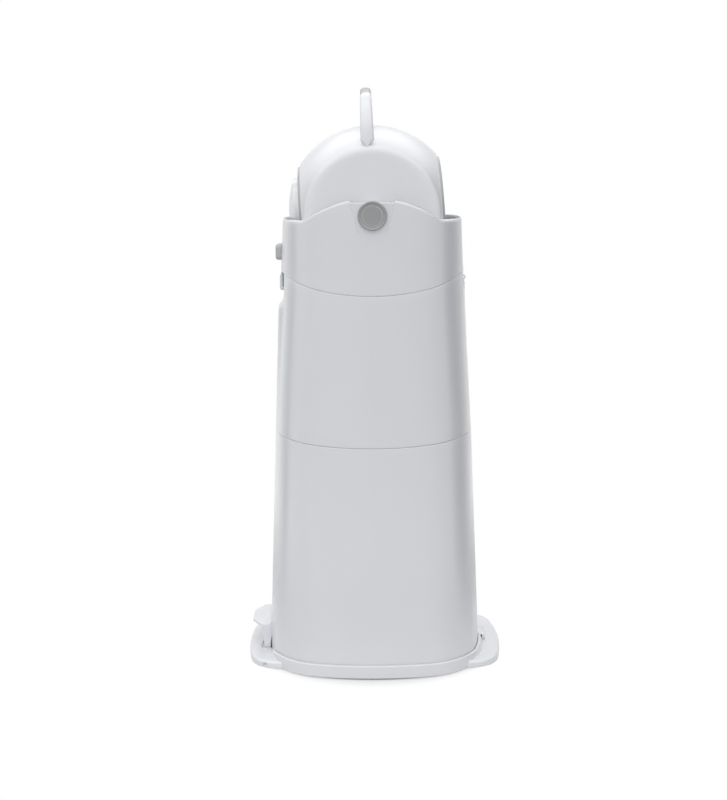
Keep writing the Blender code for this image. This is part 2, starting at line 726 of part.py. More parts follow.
def middle_section():
    """The upper body: panel and finger recess outside, bag ledge inside, locating rims at both ends."""
    relief = front_relief
    rings = [body_ring(0, lower_seam, SEAM_GAP, relief), body_ring(0, PANEL_TOP_Z, 0, relief)]
    rings += [body_ring(0, RECESS_FOOT_Z, 0, relief), body_ring(0, upper_seam, 0, relief)]
    rings += [body_ring(SPIGOT_INSET, upper_seam, 0, relief)]
    rings += [body_ring(SPIGOT_INSET, upper_seam, UPPER_SPIGOT_H, relief)]
    rings += [body_ring(BODY_WALL, upper_seam, UPPER_SPIGOT_H, relief)]
    rings += [body_ring(BODY_WALL, z, 0, relief) for z in (RECESS_FOOT_Z, PANEL_TOP_Z, LEDGE_Z)]
    ledge_foot = LEDGE_Z - LEDGE_T
    rings += [body_ring(BODY_WALL + LEDGE_REACH, z) for z in (LEDGE_Z, ledge_foot)]
    rings += [body_ring(BODY_WALL, ledge_foot - LEDGE_REACH / 2, 0, relief)]
    rebate = LOWER_SPIGOT_H + 2 * SEAM_GAP
    rings += [body_ring(BODY_WALL, lower_seam, rebate, relief)]
    rings += [body_ring(SPIGOT_INSET - FIT_GAP, lower_seam, rebate, relief)]
    rings += [body_ring(SPIGOT_INSET - FIT_GAP, lower_seam, SEAM_GAP, relief)]
    middle = loft("middle_section", rings, WHITE, closed=True)
    nib_x = LATCH_HALF_X + LATCH_NOTCH_GAP
    slot_low = (-nib_x, -TONGUE_REAR, NIB_FOOT_Z - NIB_SLOPE - NIB_SLOT_GAP)
    slot_high = (nib_x, -NIB_REAR + OVERRUN, NIB_TOP_Z + NIB_SLOPE + NIB_SLOT_GAP)
    cut(middle, box("nib_slot", slot_low, slot_high))
    rim_x = LATCH_LUG_X0
    rim_low = (-rim_x, -UPPER_SEAM_HALF_Y - OVERRUN, UPPER_SEAM_Z)
    rim_high = (rim_x, -UPPER_SEAM_HALF_Y + OVERRUN, UPPER_SEAM_Z + OVERRUN)
    cut(middle, box("latch_notch", rim_low, rim_high))
    knuckles_x = KNUCKLE_PITCH * KNUCKLES / 2 + HINGE_NOTCH_GAP
    hinge_low = (-knuckles_x, UPPER_SEAM_HALF_Y - OVERRUN, HINGE_Z - KNUCKLE_R - HINGE_NOTCH_GAP)
    hinge_high = (knuckles_x, UPPER_SEAM_HALF_Y + OVERRUN, UPPER_SEAM_Z + OVERRUN)
    cut(middle, box("hinge_notch", hinge_low, hinge_high))
    for side in (-1, 1):
        place = (side * BRACKET_SCREW_X, HINGE_Y, (BRACKET_Z0 + BRACKET_Z1) / 2)
        radius = BRACKET_SCREW_R + FIT_GAP
        cut(middle, rod("screw_hole", "Y", place, radius, -OVERRUN, OVERRUN, steps=TINY_STEPS))
    return middle


def bag_ring():
    """Sits on the ledge, and the bag's mouth is turned down over its collar."""
    outer = BODY_WALL + BAG_RING_GAP
    inner = outer + BAG_RING_W
    low = LEDGE_Z + SEAM_GAP
    top = low + BAG_RING_T
    foot = low - BAG_COLLAR_H
    throat = inner - BAG_COLLAR_T
    stations = [(outer, low), (outer, top), (inner, top), (inner, foot), (throat, foot), (throat, low)]
    return loft("bag_ring", [body_ring(i, z) for i, z in stations], PALE, closed=True)


def keeper_wedge(grow, z0, z1):
    """The keeper's tapered outline, as (y, z)."""
    slope = (KEEPER_TOP_HALF - KEEPER_FOOT_HALF) / KEEPER_H

    def half(z):
        return KEEPER_TOP_HALF + grow - (KEEPER_TOP_Z - z) * slope

    return [(-half(z0), z0), (half(z0), z0), (half(z1), z1), (-half(z1), z1)]


def screw_places():
    x = wall_x(CRADLE_BOSS_Y, CRADLE_FLANGE_Z, HEAD_WALL) - CRADLE_BOSS_INSET
    return [(sx * x, sy * CRADLE_BOSS_Y) for sx in (-1, 1) for sy in (-1, 1)]


def head_housing():
    """The outer head: a level rim, arched sides, keeper slots, button window and hinge knuckles."""
    rebate_in = SPIGOT_INSET - FIT_GAP
    rebate_h = UPPER_SPIGOT_H + 2 * SEAM_GAP
    rings = [body_ring(0, upper_seam, SEAM_GAP), body_ring(0, head_top, -EDGE_ROUND)]
    rings += [body_ring(EDGE_ROUND, head_top), body_ring(HEAD_WALL - EDGE_ROUND, head_top)]
    rings += [body_ring(HEAD_WALL, head_top, -EDGE_ROUND), body_ring(HEAD_WALL, upper_seam, rebate_h)]
    rings += [body_ring(rebate_in, upper_seam, rebate_h), body_ring(rebate_in, upper_seam, SEAM_GAP)]
    head = loft("head_housing", rings, WHITE, closed=True)
    boss_top = CRADLE_FLANGE_Z - CRADLE_T - FIT_GAP
    for x, y in screw_places():
        place = (x, y, 0)
        boss_foot = CRADLE_BOSS_FOOT_Z
        add(head, rod("boss", "Z", place, CRADLE_BOSS_R, boss_foot, boss_top, steps=SMALL_STEPS))
        hole = SCREW_R + FIT_GAP
        hole_foot = boss_top - SCREW_L
        cut(head, rod("hole", "Z", place, hole, hole_foot, boss_top + OVERRUN, steps=TINY_STEPS))
    foot = KEEPER_TOP_Z - KEEPER_H
    wedge = keeper_wedge(FIT_GAP, foot - FIT_GAP, KEEPER_TOP_Z + OVERRUN)
    for side in (-1, 1):
        x0, x1 = sorted((side * TRUNNION_END_X, side * (RIM_HALF_X + OVERRUN)))
        cut(head, prism_x("keeper_slot", wedge, x0, x1))
    gap = BUTTON_WINDOW_GAP
    window_low = (-BUTTON_HALF_X - gap, -BUTTON_FRONT, BUTTON_Z0 - gap)
    window_high = (BUTTON_HALF_X + gap, -LATCH_ARM_REAR, BUTTON_Z1 + gap)
    cut(head, box("window", window_low, window_high))
    notch_x = LATCH_HALF_X + LATCH_NOTCH_GAP
    notch_low = (-notch_x, -TONGUE_FRONT, UPPER_SEAM_Z - OVERRUN)
    cut(head, box("notch", notch_low, (notch_x, -LATCH_ARM_REAR, LATCH_NOTCH_TOP_Z)))
    lug_front = UPPER_SEAM_HALF_Y - HEAD_WALL / 2
    for side in (-1, 1):
        x0, x1 = sorted((side * LATCH_LUG_X0, side * LATCH_LUG_X1))
        lug_low = (x0, -lug_front, LATCH_AXIS_Z - LATCH_LUG_HALF_H)
        add(head, box("lug", lug_low, (x1, -LATCH_LUG_REAR, LATCH_AXIS_Z + LATCH_LUG_HALF_H)))
    axis = (0, -LATCH_AXIS_Y, LATCH_AXIS_Z)
    reach = LATCH_LUG_X1 * 2
    cut(head, rod("pin_hole", "X", axis, LATCH_PIN_R + FIT_GAP, -reach, reach, steps=TINY_STEPS))
    for x0, x1 in knuckle_spans(0):
        leaf_low = (x0, HINGE_Y - HINGE_LEAF_T, HINGE_Z)
        leaf_top = UPPER_SEAM_Z + HINGE_LEAF_T
        add(head, box("leaf", leaf_low, (x1, HINGE_Y - FIT_GAP, leaf_top)))
        add(head, rod("knuckle", "X", (0, HINGE_Y, HINGE_Z), KNUCKLE_R, x0, x1, steps=TINY_STEPS))
    return cut(head, hinge_bore())


def knuckle_spans(first):
    """Every other knuckle of five: first 0 gives the head's three, first 1 the bracket's two."""
    spans = []
    for i in range(first, KNUCKLES, 2):
        x0 = (i - KNUCKLES / 2) * KNUCKLE_PITCH
        spans.append((x0 + KNUCKLE_GAP / 2, x0 + KNUCKLE_PITCH - KNUCKLE_GAP / 2))
    return spans


def hinge_bore():
    reach = KNUCKLE_PITCH * KNUCKLES
    radius = HINGE_PIN_R + FIT_GAP
    return rod("bore", "X", (0, HINGE_Y, HINGE_Z), radius, -reach, reach, steps=TINY_STEPS)


def bracket_front_y():
    return half_sizes(BRACKET_Z0)[1] + FIT_GAP


def hinge_bracket():
    """A plate on the rear of the middle section, with two knuckles at its top."""
    half_x = KNUCKLE_PITCH * KNUCKLES / 2
    front = bracket_front_y()
    plate_low = (-half_x, front, BRACKET_Z0)
    bracket = box("hinge_bracket", plate_low, (half_x, front + BRACKET_T, BRACKET_Z1))
    for x0, x1 in knuckle_spans(1):
        leaf_low = (x0, front, BRACKET_Z1 - BRACKET_T)
        add(bracket, box("leaf", leaf_low, (x1, front + BRACKET_T, HINGE_Z)))
        add(bracket, rod("knuckle", "X", (0, HINGE_Y, HINGE_Z), KNUCKLE_R, x0, x1, steps=TINY_STEPS))
    cut(bracket, hinge_bore())
    for side in (-1, 1):
        place = (side * BRACKET_SCREW_X, HINGE_Y, (BRACKET_Z0 + BRACKET_Z1) / 2)
        radius = BRACKET_SCREW_R + FIT_GAP
        cut(bracket, rod("hole", "Y", place, radius, -OVERRUN, OVERRUN, steps=TINY_STEPS))
    return bracket


def bracket_screws():
    head_y = bracket_front_y() + BRACKET_T + FIT_GAP
    for i, side in enumerate((-1, 1), 1):
        place = (side * BRACKET_SCREW_X, 0, (BRACKET_Z0 + BRACKET_Z1) / 2)
        head_top_y = head_y + BRACKET_SCREW_HEAD_H
        profile = [(head_top_y, BRACKET_SCREW_HEAD_R), (head_y, BRACKET_SCREW_HEAD_R)]
        profile += [(head_y, BRACKET_SCREW_R), (head_y - BRACKET_SCREW_L, BRACKET_SCREW_R)]
        turned(f"bracket_screw_{i}", profile, "Y", STEEL, place, steps=TINY_STEPS)


def hinge_pin():
    half = KNUCKLE_PITCH * KNUCKLES / 2 + HINGE_PIN_R
    return rod("hinge_pin", "X", (0, HINGE_Y, HINGE_Z), HINGE_PIN_R, -half, half, STEEL, TINY_STEPS)


def drum_cradle():
    """A bowl that follows the drum, open at its throat, hung from a flange that fills the head."""
    outer = barrel("drum_cradle", RUN_GAP + CRADLE_T, PALE)
    outer.data.transform(Matrix.Translation((0, 0, PIVOT_Z)))
    reach = DRUM_R * 2
    above_low = (-reach, -reach, CRADLE_FLANGE_Z - CRADLE_T / 2)
    cut(outer, box("above", above_low, (reach, reach, PIVOT_Z + reach)))
    edge = HEAD_WALL + CRADLE_CLEARANCE
    low = CRADLE_FLANGE_Z - CRADLE_T
    add(outer, loft("flange", [body_ring(edge, low), body_ring(edge, CRADLE_FLANGE_Z)], PALE))
    inner = barrel("inside", RUN_GAP, PALE)
    inner.data.transform(Matrix.Translation((0, 0, PIVOT_Z)))
    cut(outer, inner)
    throat_r = THROAT_R + FIT_GAP
    cut(outer, rod("throat", "Z", (0, 0, 0), throat_r, PIVOT_Z - reach, PIVOT_Z, steps=CHAMBER_STEPS))
    for x, y in screw_places():
        cut(outer, rod("hole", "Z", (x, y, 0), SCREW_R + FIT_GAP, low - OVERRUN, PIVOT_Z, steps=TINY_STEPS))
    return outer


def drum_seal():
    """A soft ring in the throat's edge, its inner face close to the drum."""
    reach = DRUM_R * 2
    outer = barrel("drum_seal", RUN_GAP + CRADLE_T, SOFT_GREY)
    cut(outer, barrel("inside", SEAL_RUN_GAP, SOFT_GREY))
    outer.data.transform(Matrix.Translation((0, 0, PIVOT_Z)))
    low = PIVOT_Z - reach
    steps = CHAMBER_STEPS
    keep(outer, rod("throat", "Z", (0, 0, 0), THROAT_R, low, SEAL_BLANK_TOP_Z, steps=steps))
    return cut(outer, rod("way", "Z", (0, 0, 0), THROAT_R - SEAL_W, low, PIVOT_Z, steps=steps))


def cradle_screws():
    screws = []
    for i, (x, y) in enumerate(screw_places(), 1):
        head_z = CRADLE_FLANGE_Z + FIT_GAP
        profile = [(head_z - SCREW_L, SCREW_R), (head_z, SCREW_R), (head_z, SCREW_HEAD_R)]
        profile += [(head_z + SCREW_HEAD_H, SCREW_HEAD_R)]
        screws.append(turned(f"cradle_screw_{i}", profile, "Z", STEEL, (x, y, 0), steps=TINY_STEPS))
    return screws


def wall_slab(inset0, inset1, z0, z1):
    """A stretch of the body's wall between two insets."""
    rings = [body_ring(inset0, z0), body_ring(inset0, z1), body_ring(inset1, z1), body_ring(inset1, z0)]
    return loft("slab", rings, WHITE, closed=True)


def side_keeper(name, side):
    """Slides down into the head's wedge slot and closes the trunnion's bearing."""
    foot = KEEPER_TOP_Z - KEEPER_H
    x0, x1 = sorted((side * TRUNNION_END_X / 2, side * (RIM_HALF_X + OVERRUN)))
    keeper = prism_x(name, keeper_wedge(0, foot, KEEPER_TOP_Z), x0, x1)
    keep(keeper, wall_slab(-KEEPER_PROUD, KEEPER_T - KEEPER_PROUD, foot - OVERRUN, KEEPER_TOP_Z + OVERRUN))
    lap_z = CRADLE_FLANGE_Z + EDGE_ROUND
    lap_outline = keeper_wedge(KEEPER_FLANGE_LAP, lap_z, KEEPER_TOP_Z - KEEPER_FLANGE_LAP)
    lap = prism_x("lap", lap_outline, x0, x1)
    lap_out = HEAD_WALL + FIT_GAP
    slab_z = (foot - OVERRUN, KEEPER_TOP_Z + OVERRUN)
    keep(lap, wall_slab(lap_out, lap_out + KEEPER_FLANGE_T, *slab_z))
    add(keeper, lap)
    inner_x = DRUM_FACE_X + FIT_GAP + TRUNNION_FLANGE_T + KEEPER_BOSS_GAP
    boss_end = RIM_HALF_X - HEAD_WALL - KEEPER_BOSS_LAP
    b0, b1 = sorted((side * inner_x, side * boss_end))
    centre = (0, 0, PIVOT_Z)
    add(keeper, rod("boss", "X", centre, KEEPER_BOSS_R, b0, b1, steps=ROUND_STEPS))
    c0, c1 = sorted((side * (inner_x - OVERRUN), side * (TRUNNION_END_X + EDGE_ROUND)))
    bearing_r = TRUNNION_R + TRUNNION_RUN_GAP
    return cut(keeper, rod("bearing", "X", centre, bearing_r, c0, c1, steps=ROUND_STEPS))


def pivot_badge(name, side):
    """A plain round cap over the pivot, with a raised rim."""
    base = wall_x(0, PIVOT_Z - BADGE_R) + KEEPER_PROUD + FIT_GAP
    top = base + BADGE_T
    face = top - BADGE_RIM_H
    inner = BADGE_R - BADGE_RIM_W
    profile = [(base, BADGE_R), (face, BADGE_R), (top, BADGE_R - BADGE_RIM_H), (top, inner)]
    profile += [(face, inner - BADGE_RIM_H)]
    profile = [(side * along, radius) for along, radius in profile]
    return turned(name, profile, "X", GREY, (0, 0, PIVOT_Z), steps=ROUND_STEPS)


def chamber_end_cutter(half_length):
    reach = DRUM_R * 2
    return box("ends", (-reach, -half_length, -reach), (reach, half_length, reach))


def drum_casing():
    """The drum's hollow shell: a barrel with flat chamber ends, about its own pivot."""
    casing = keep(barrel("drum_casing", 0), chamber_end_cutter(DRUM_END))
    inside = barrel("inside", -DRUM_WALL, steps=INNER_BARREL_STEPS)
    keep(inside, chamber_end_cutter(DRUM_END - DRUM_WALL))
    cut(casing, inside)
    bore_r = TUBE_R + TUBE_WALL + FIT_GAP
    cut(casing, rod("bore", "Y", (0, 0, 0), bore_r, -DRUM_R, DRUM_R, steps=CHAMBER_STEPS))
    hole_r = TRUNNION_SPIGOT_R + FIT_GAP
    cut(casing, rod("pivot_holes", "X", (0, 0, 0), hole_r, -DRUM_R, -DRUM_SHOULDER_X, steps=TINY_STEPS))
    cut(casing, rod("pivot_holes", "X", (0, 0, 0), hole_r, DRUM_SHOULDER_X, DRUM_R, steps=TINY_STEPS))
    return screw_ways(casing)


def screw_ways(target):
    for side in (-1, 1):
        place = (side * HANDLE_SCREW_X, 0, 0)
        radius = HANDLE_SCREW_R + FIT_GAP
        top_z = HANDLE_SCREW_TOP_Z + FIT_GAP
        cut(target, rod("way", "Z", place, radius, HANDLE_SCREW_HEAD_Z, top_z, steps=TINY_STEPS))
    return target


def chamber_tube():
    profile = [(-TUBE_HALF_L, TUBE_R), (TUBE_HALF_L, TUBE_R)]
    profile += [(TUBE_HALF_L, TUBE_R + TUBE_WALL), (-TUBE_HALF_L, TUBE_R + TUBE_WALL)]
    return turned("chamber_tube", profile, "Y", PALE, steps=CHAMBER_STEPS, closed=True)


def chamber_rim(name, side):
    """An oval flange on the drum's flat end, with a neck that holds the piston in."""
    neck_y = TUBE_HALF_L + FIT_GAP
    seat_y = DRUM_END + FIT_GAP
    top_y = seat_y + END_RIM_T
    neck_r = TUBE_R + TUBE_WALL - FIT_GAP
    oval = (END_RIM_HALF_X, END_RIM_HALF_Z)
    small_oval = (END_RIM_HALF_X - END_RIM_EDGE, END_RIM_HALF_Z - END_RIM_EDGE)
    stations = [(neck_y, NECK_R, NECK_R), (neck_y, neck_r, neck_r), (seat_y, neck_r, neck_r)]
    stations += [(seat_y, *oval), (top_y - END_RIM_EDGE, *oval), (top_y, *small_oval)]
    mouth_r = NECK_R + END_RIM_EDGE
    stations += [(top_y, mouth_r, mouth_r), (top_y - END_RIM_EDGE, NECK_R, NECK_R)]
    unit = circle(1, CHAMBER_STEPS)
    rings = [[(a * half_x, side * y, b * half_z) for a, b in unit] for y, half_x, half_z in stations]
    return loft(name, rings, RIM_GREY, closed=True)


def trunnion(name, side):
    seat = DRUM_FACE_X + FIT_GAP
    flange = seat + TRUNNION_FLANGE_T
    profile = [(seat - TRUNNION_SPIGOT_L, TRUNNION_SPIGOT_R), (seat, TRUNNION_SPIGOT_R)]
    profile += [(seat, TRUNNION_FLANGE_R), (flange, TRUNNION_FLANGE_R), (flange, TRUNNION_R)]
    profile += [(TRUNNION_END_X - EDGE_ROUND, TRUNNION_R), (TRUNNION_END_X, TRUNNION_R - EDGE_ROUND)]
    profile = [(side * along, radius) for along, radius in profile]
    return turned(name, profile, "X", PALE, steps=ROUND_STEPS)


def handle():
    """An arch with a soft section that widens to its feet on the drum's shoulders and leans at its top."""
    crown = HANDLE_R - HANDLE_T / 2 - HANDLE_SPRING_Z
    power = 2 / HANDLE_POWER
    centres = []
    for i in range(HANDLE_STEPS + 1):
        angle = math.pi * i / HANDLE_STEPS
        x = HANDLE_HALF_SPAN * math.copysign(abs(math.cos(angle)) ** power, math.cos(angle))
        centres.append(Vector((x, 0, HANDLE_SPRING_Z + crown * math.sin(angle) ** power)))
    rings = []
    for i, centre in enumerate(centres):
        before = centres[max(i - 1, 0)]
        after = centres[min(i + 1, HANDLE_STEPS)]
        along = (after - before).normalized()
        out = Vector((along.z, 0, -along.x))
        down = 1 - (centre.z - HANDLE_SPRING_Z) / crown
        half_w = HANDLE_TOP_HALF_W + (HANDLE_FOOT_HALF_W - HANDLE_TOP_HALF_W) * down
        half_t = HANDLE_T / 2
        lean = HANDLE_LEAN * (1 - down)
        ring = []
        for a, b in HANDLE_SECTION_SHARES:
            ring.append(centre + out * (a * half_t) + Vector((0, b * half_w + lean, 0)))
        rings.append(ring)
    arch = loft("handle", rings, WHITE)
    cut(arch, barrel("seat", FIT_GAP))
    return screw_ways(arch)


def handle_screws():
    screws = []
    for i, side in enumerate((-1, 1), 1):
        head_top_z = HANDLE_SCREW_HEAD_Z + HANDLE_SCREW_HEAD_H
        profile = [(HANDLE_SCREW_HEAD_Z, HANDLE_SCREW_HEAD_R), (head_top_z, HANDLE_SCREW_HEAD_R)]
        profile += [(head_top_z, HANDLE_SCREW_R), (HANDLE_SCREW_TOP_Z, HANDLE_SCREW_R)]
        place = (side * HANDLE_SCREW_X, 0, 0)
        screws.append(turned(f"handle_screw_{i}", profile, "Z", STEEL, place, steps=TINY_STEPS))
    return screws


def piston_body():
    """A spool with a groove for each wiper and a bore for the weight, about its own centre."""
    radius = TUBE_R - PISTON_RUN_GAP
    groove = TUBE_R - WIPER_GAP - WIPER_DEPTH - FIT_GAP
    half_w = WIPER_W / 2 + FIT_GAP
    profile = [(-PISTON_FLANGE_HALF_L, radius)]
    for y in (-WIPER_Y, WIPER_Y):
        profile += [(y - half_w, radius), (y - half_w, groove), (y + half_w, groove), (y + half_w, radius)]
    profile += [(PISTON_FLANGE_HALF_L, radius), (PISTON_FLANGE_HALF_L, WEIGHT_R + FIT_GAP)]
    profile += [(-PISTON_FLANGE_HALF_L, WEIGHT_R + FIT_GAP)]
    return turned("piston_body", profile, "Y", PALE, steps=PISTON_STEPS, closed=True)


def piston_face(name, side):
    """A shallow dome that stands out of the chamber's neck at the end of the stroke."""
    seat = PISTON_FLANGE_HALF_L + FIT_GAP
    radius = PISTON_FACE_R
    edge = seat + PISTON_FACE_EDGE
    crown = seat + PISTON_FACE_CROWN
    wall = PISTON_FACE_WALL
    rise = crown - edge
    profile = [(seat, radius), (edge, radius)]
    profile += [(crown - rise * s**2, radius * s) for s in DOME_SHARES]
    profile += [(crown - wall - rise * s**2, (radius - wall) * s) for s in reversed(DOME_SHARES)]
    profile += [(edge - wall, radius - wall), (seat, radius - wall)]
    profile = [(side * along, r) for along, r in profile]
    return turned(name, profile, "Y", WHITE, steps=PISTON_STEPS, closed=True)


def piston_weight():
    half = PISTON_FLANGE_HALF_L - WEIGHT_RECESS
    return rod("piston_weight", "Y", (0, 0, 0), WEIGHT_R, -half, half, STEEL, PISTON_STEPS)


def piston_wiper(name, side):
    inner = TUBE_R - WIPER_GAP - WIPER_DEPTH
    outer = TUBE_R - WIPER_GAP
    y0 = side * WIPER_Y - WIPER_W / 2
    y1 = y0 + WIPER_W
    lip = outer - FIT_GAP
    profile = [(y0, inner), (y0, lip), ((y0 + y1) / 2, outer), (y1, lip), (y1, inner)]
    return turned(name, profile, "Y", SOFT_GREY, steps=PISTON_STEPS, closed=True)


def latch_lever():
    """One rocker: an upper arm behind the button, a hub on the pin, and a tongue with a nib below."""
    hub_low = LATCH_AXIS_Z - LATCH_HUB_HALF_H
    hub_top = LATCH_AXIS_Z + LATCH_HUB_HALF_H
    step = (TONGUE_FRONT - TONGUE_REAR) / 4
    outline = [
        (-LATCH_ARM_FRONT, LATCH_ARM_TOP_Z),
        (-LATCH_ARM_FRONT, hub_low + step),
        (-TONGUE_REAR + step, TONGUE_TOP_Z),
        (-TONGUE_FRONT + step, TONGUE_TOP_Z),
        (-TONGUE_FRONT, TONGUE_TOP_Z - step),
        (-TONGUE_FRONT, TONGUE_FOOT_Z + step),
        (-TONGUE_FRONT + 2 * step, TONGUE_FOOT_Z),
        (-TONGUE_REAR, TONGUE_FOOT_Z + NIB_SLOPE / 2),
        (-TONGUE_REAR, NIB_FOOT_Z - NIB_SLOPE),
        (-NIB_REAR, NIB_FOOT_Z),
        (-NIB_REAR, NIB_TOP_Z),
        (-TONGUE_REAR, NIB_TOP_Z + NIB_SLOPE),
        (-TONGUE_REAR, UPPER_SEAM_Z + NIB_SLOPE),
        (-LATCH_ARM_FRONT, UPPER_SEAM_Z + 2 * NIB_SLOPE),
        (-LATCH_HUB_REAR - step, hub_low),
        (-LATCH_HUB_REAR, LATCH_AXIS_Z),
        (-LATCH_ARM_REAR + step / 2, hub_top),
        (-LATCH_ARM_REAR, LATCH_ARM_TOP_Z),
    ]
    lever = prism_x("latch_lever", outline, -LATCH_HALF_X, LATCH_HALF_X, GREY)
    centre = (0, -LATCH_AXIS_Y, LATCH_AXIS_Z)
    reach = LATCH_HALF_X * 2
    return cut(lever, rod("bore", "X", centre, LATCH_PIN_R + FIT_GAP, -reach, reach, steps=TINY_STEPS))


def release_button():
    """The cap that the thumb presses, with its edges eased."""
    back = -LATCH_ARM_FRONT - FIT_GAP
    ease = BUTTON_EDGE
    stations = [(back, 0), (-BUTTON_FRONT + ease, 0), (-BUTTON_FRONT, ease)]
    rings = []
    for y, inset in stations:
        half_x = BUTTON_HALF_X - inset
        z0 = BUTTON_Z0 + inset
        z1 = BUTTON_Z1 - inset
        outline = [(half_x, z0 + ease), (half_x, z1 - ease), (half_x - ease, z1)]
        outline += [(ease - half_x, z1), (-half_x, z1 - ease), (-half_x, z0 + ease)]
        outline += [(ease - half_x, z0), (half_x - ease, z0)]
        rings.append([(x, y, z) for x, z in outline])
    return loft("release_button", rings, GREY)


def latch_pin():
    centre = (0, -LATCH_AXIS_Y, LATCH_AXIS_Z)
    return rod("latch_pin", "X", centre, LATCH_PIN_R, -LATCH_LUG_X1, LATCH_LUG_X1, STEEL, TINY_STEPS)


def latch_spring():
    length = LATCH_LUG_X0 - LATCH_HALF_X - 4 * LATCH_SPRING_WIRE_R
    place = ((LATCH_LUG_X0 + LATCH_HALF_X) / 2, -LATCH_AXIS_Y, LATCH_AXIS_Z)
    wire = LATCH_SPRING_WIRE_R
    return coil("latch_spring", place, LATCH_SPRING_R, wire, length, LATCH_SPRING_TURNS, STEEL)


def axis_empty(name, place, tilt_deg=0):
    empty = bpy.data.objects.new(name, None)
    empty.location = place
    empty.rotation_euler.x = math.radians(tilt_deg)
    bpy.context.scene.collection.objects.link(empty)
    bpy.context.view_layer.update()
    return empty


def hang(pieces, empty, in_place=True):
    """Parents pieces to an empty. Pieces made about the empty's own origin move with it."""
    for piece in pieces:
        piece.parent = empty
        if in_place:
            piece.matrix_parent_inverse = empty.matrix_world.inverted()


def main():
    clear_scene()
    base_plate()
    base_feet()
    catch_pin()
    catch_spring()
    lower_bucket()
    middle_section()
    bag_ring()
    hinge_bracket()
    bracket_screws()
    hinge_pin()
    hang([foot_catch()], axis_empty("catch_axis", (0, -CATCH_PIN_Y, CATCH_PIN_Z)))
    head = [head_housing(), drum_cradle(), drum_seal(), latch_pin(), latch_spring()]
    head += cradle_screws()
    for end, side in (("left", 1), ("right", -1)):
        head += [side_keeper(f"side_keeper_{end}", side), pivot_badge(f"pivot_badge_{end}", side)]
    head_axis = axis_empty("head_axis", (0, HINGE_Y, HINGE_Z))
    hang(head, head_axis)
    latch_axis = axis_empty("latch_axis", (0, -LATCH_AXIS_Y, LATCH_AXIS_Z))
    hang([latch_lever(), release_button()], latch_axis)
    drum = [drum_casing(), chamber_tube(), handle()]
    drum += handle_screws()
    drum += [chamber_rim("chamber_rim_front", -1), chamber_rim("chamber_rim_rear", 1)]
    drum += [trunnion("trunnion_left", 1), trunnion("trunnion_right", -1)]
    drum_axis = axis_empty("drum_axis", (0, 0, PIVOT_Z), DRUM_TILT_DEG)
    hang(drum, drum_axis, in_place=False)
    piston = [piston_body(), piston_weight()]
    for end, side in (("front", -1), ("rear", 1)):
        piston += [piston_face(f"piston_face_{end}", side), piston_wiper(f"piston_wiper_{end}", side)]
    for piece in piston:
        stop = TUBE_HALF_L - PISTON_FLANGE_HALF_L
        piece.data.transform(Matrix.Translation((0, -stop, 0)))
    hang(piston, drum_axis, in_place=False)


main()
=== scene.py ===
"""Dresses a tall nappy bin with a flip-over drum. Metres, +Z up, the front faces -Y."""

import json
import math

import bmesh
import bpy
import numpy as np
from bpy.props import FloatProperty, FloatVectorProperty, IntProperty, PointerProperty
from mathutils import Matrix, Vector


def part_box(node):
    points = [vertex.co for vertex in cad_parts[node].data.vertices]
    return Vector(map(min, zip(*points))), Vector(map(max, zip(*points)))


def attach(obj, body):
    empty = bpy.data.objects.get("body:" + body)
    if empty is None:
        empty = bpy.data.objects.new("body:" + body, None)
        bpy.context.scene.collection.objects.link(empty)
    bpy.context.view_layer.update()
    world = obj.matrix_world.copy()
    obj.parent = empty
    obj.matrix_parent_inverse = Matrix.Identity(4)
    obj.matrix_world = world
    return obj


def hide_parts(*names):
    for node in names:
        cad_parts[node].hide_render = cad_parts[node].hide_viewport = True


bl_info = {
    "name": "Nappy bin",
    "version": (1, 0, 0),
    "blender": (4, 5, 0),
    "location": "3D View > Sidebar > Nappy bin",
    "description": "Builds a tall nappy bin with a flip-over drum, piece by piece",
    "category": "Add Mesh",
}

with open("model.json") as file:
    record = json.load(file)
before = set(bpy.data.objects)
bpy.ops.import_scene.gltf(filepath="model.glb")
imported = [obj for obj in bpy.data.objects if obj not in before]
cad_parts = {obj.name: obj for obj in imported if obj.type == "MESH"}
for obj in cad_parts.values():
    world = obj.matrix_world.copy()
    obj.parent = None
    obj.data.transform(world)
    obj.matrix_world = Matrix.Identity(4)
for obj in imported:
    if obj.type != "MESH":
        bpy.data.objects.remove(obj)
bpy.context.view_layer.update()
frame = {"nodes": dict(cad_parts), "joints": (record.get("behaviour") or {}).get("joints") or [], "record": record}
NODES = frame["nodes"]
HINGES = {row["name"]: row["pos_m"] for row in frame["joints"] if row["type"] == "hinge"}

# The body's half widths and half depths at its seat, at its two seams and at its rim.
HALF_WIDTHS = (0.131, 0.1245, 0.117, 0.1155)
HALF_DEPTHS = (0.132, 0.1215, 0.1097, 0.109)

# The fit between the body mouldings: how far in the spigots stand, how high they are, and the
# rounding of the seams' edges, across and up.
SPIGOT_IN, LOWER_SPIGOT, UPPER_SPIGOT = 0.0015, 0.005, 0.0035
SEAM_RUN = (0.0006, 0.0008)

# How far from the middle of a face its relief ends and over how much it fades, as shares of the half width.
FACE_EDGE_SHARE, FACE_FADE_SHARE = 0.66, 0.36
PANEL_EDGE_SHARE, PANEL_FADE_SHARE = 0.42, 0.075

# A keeper's height and half width at its foot and further up.
KEEPER_FOOT, KEEPER_SHOULDER = (0.528, 0.016), (0.566, 0.026)

# The holes for pins and screws, the hinge bracket's foot and thickness, the chamber's tube, and the
# half length of the grey over the middle of the handle.
CATCH_PIN_R, LATCH_PIN_R, HINGE_PIN_R, SCREW_HOLE_R = 0.0027, 0.0015, 0.0016, 0.0015
BRACKET_Z, BRACKET_T = 0.452, 0.0018
TUBE_HALF, TUBE_WALL = 0.0787, 0.003
GRIP_HALF = 0.0505


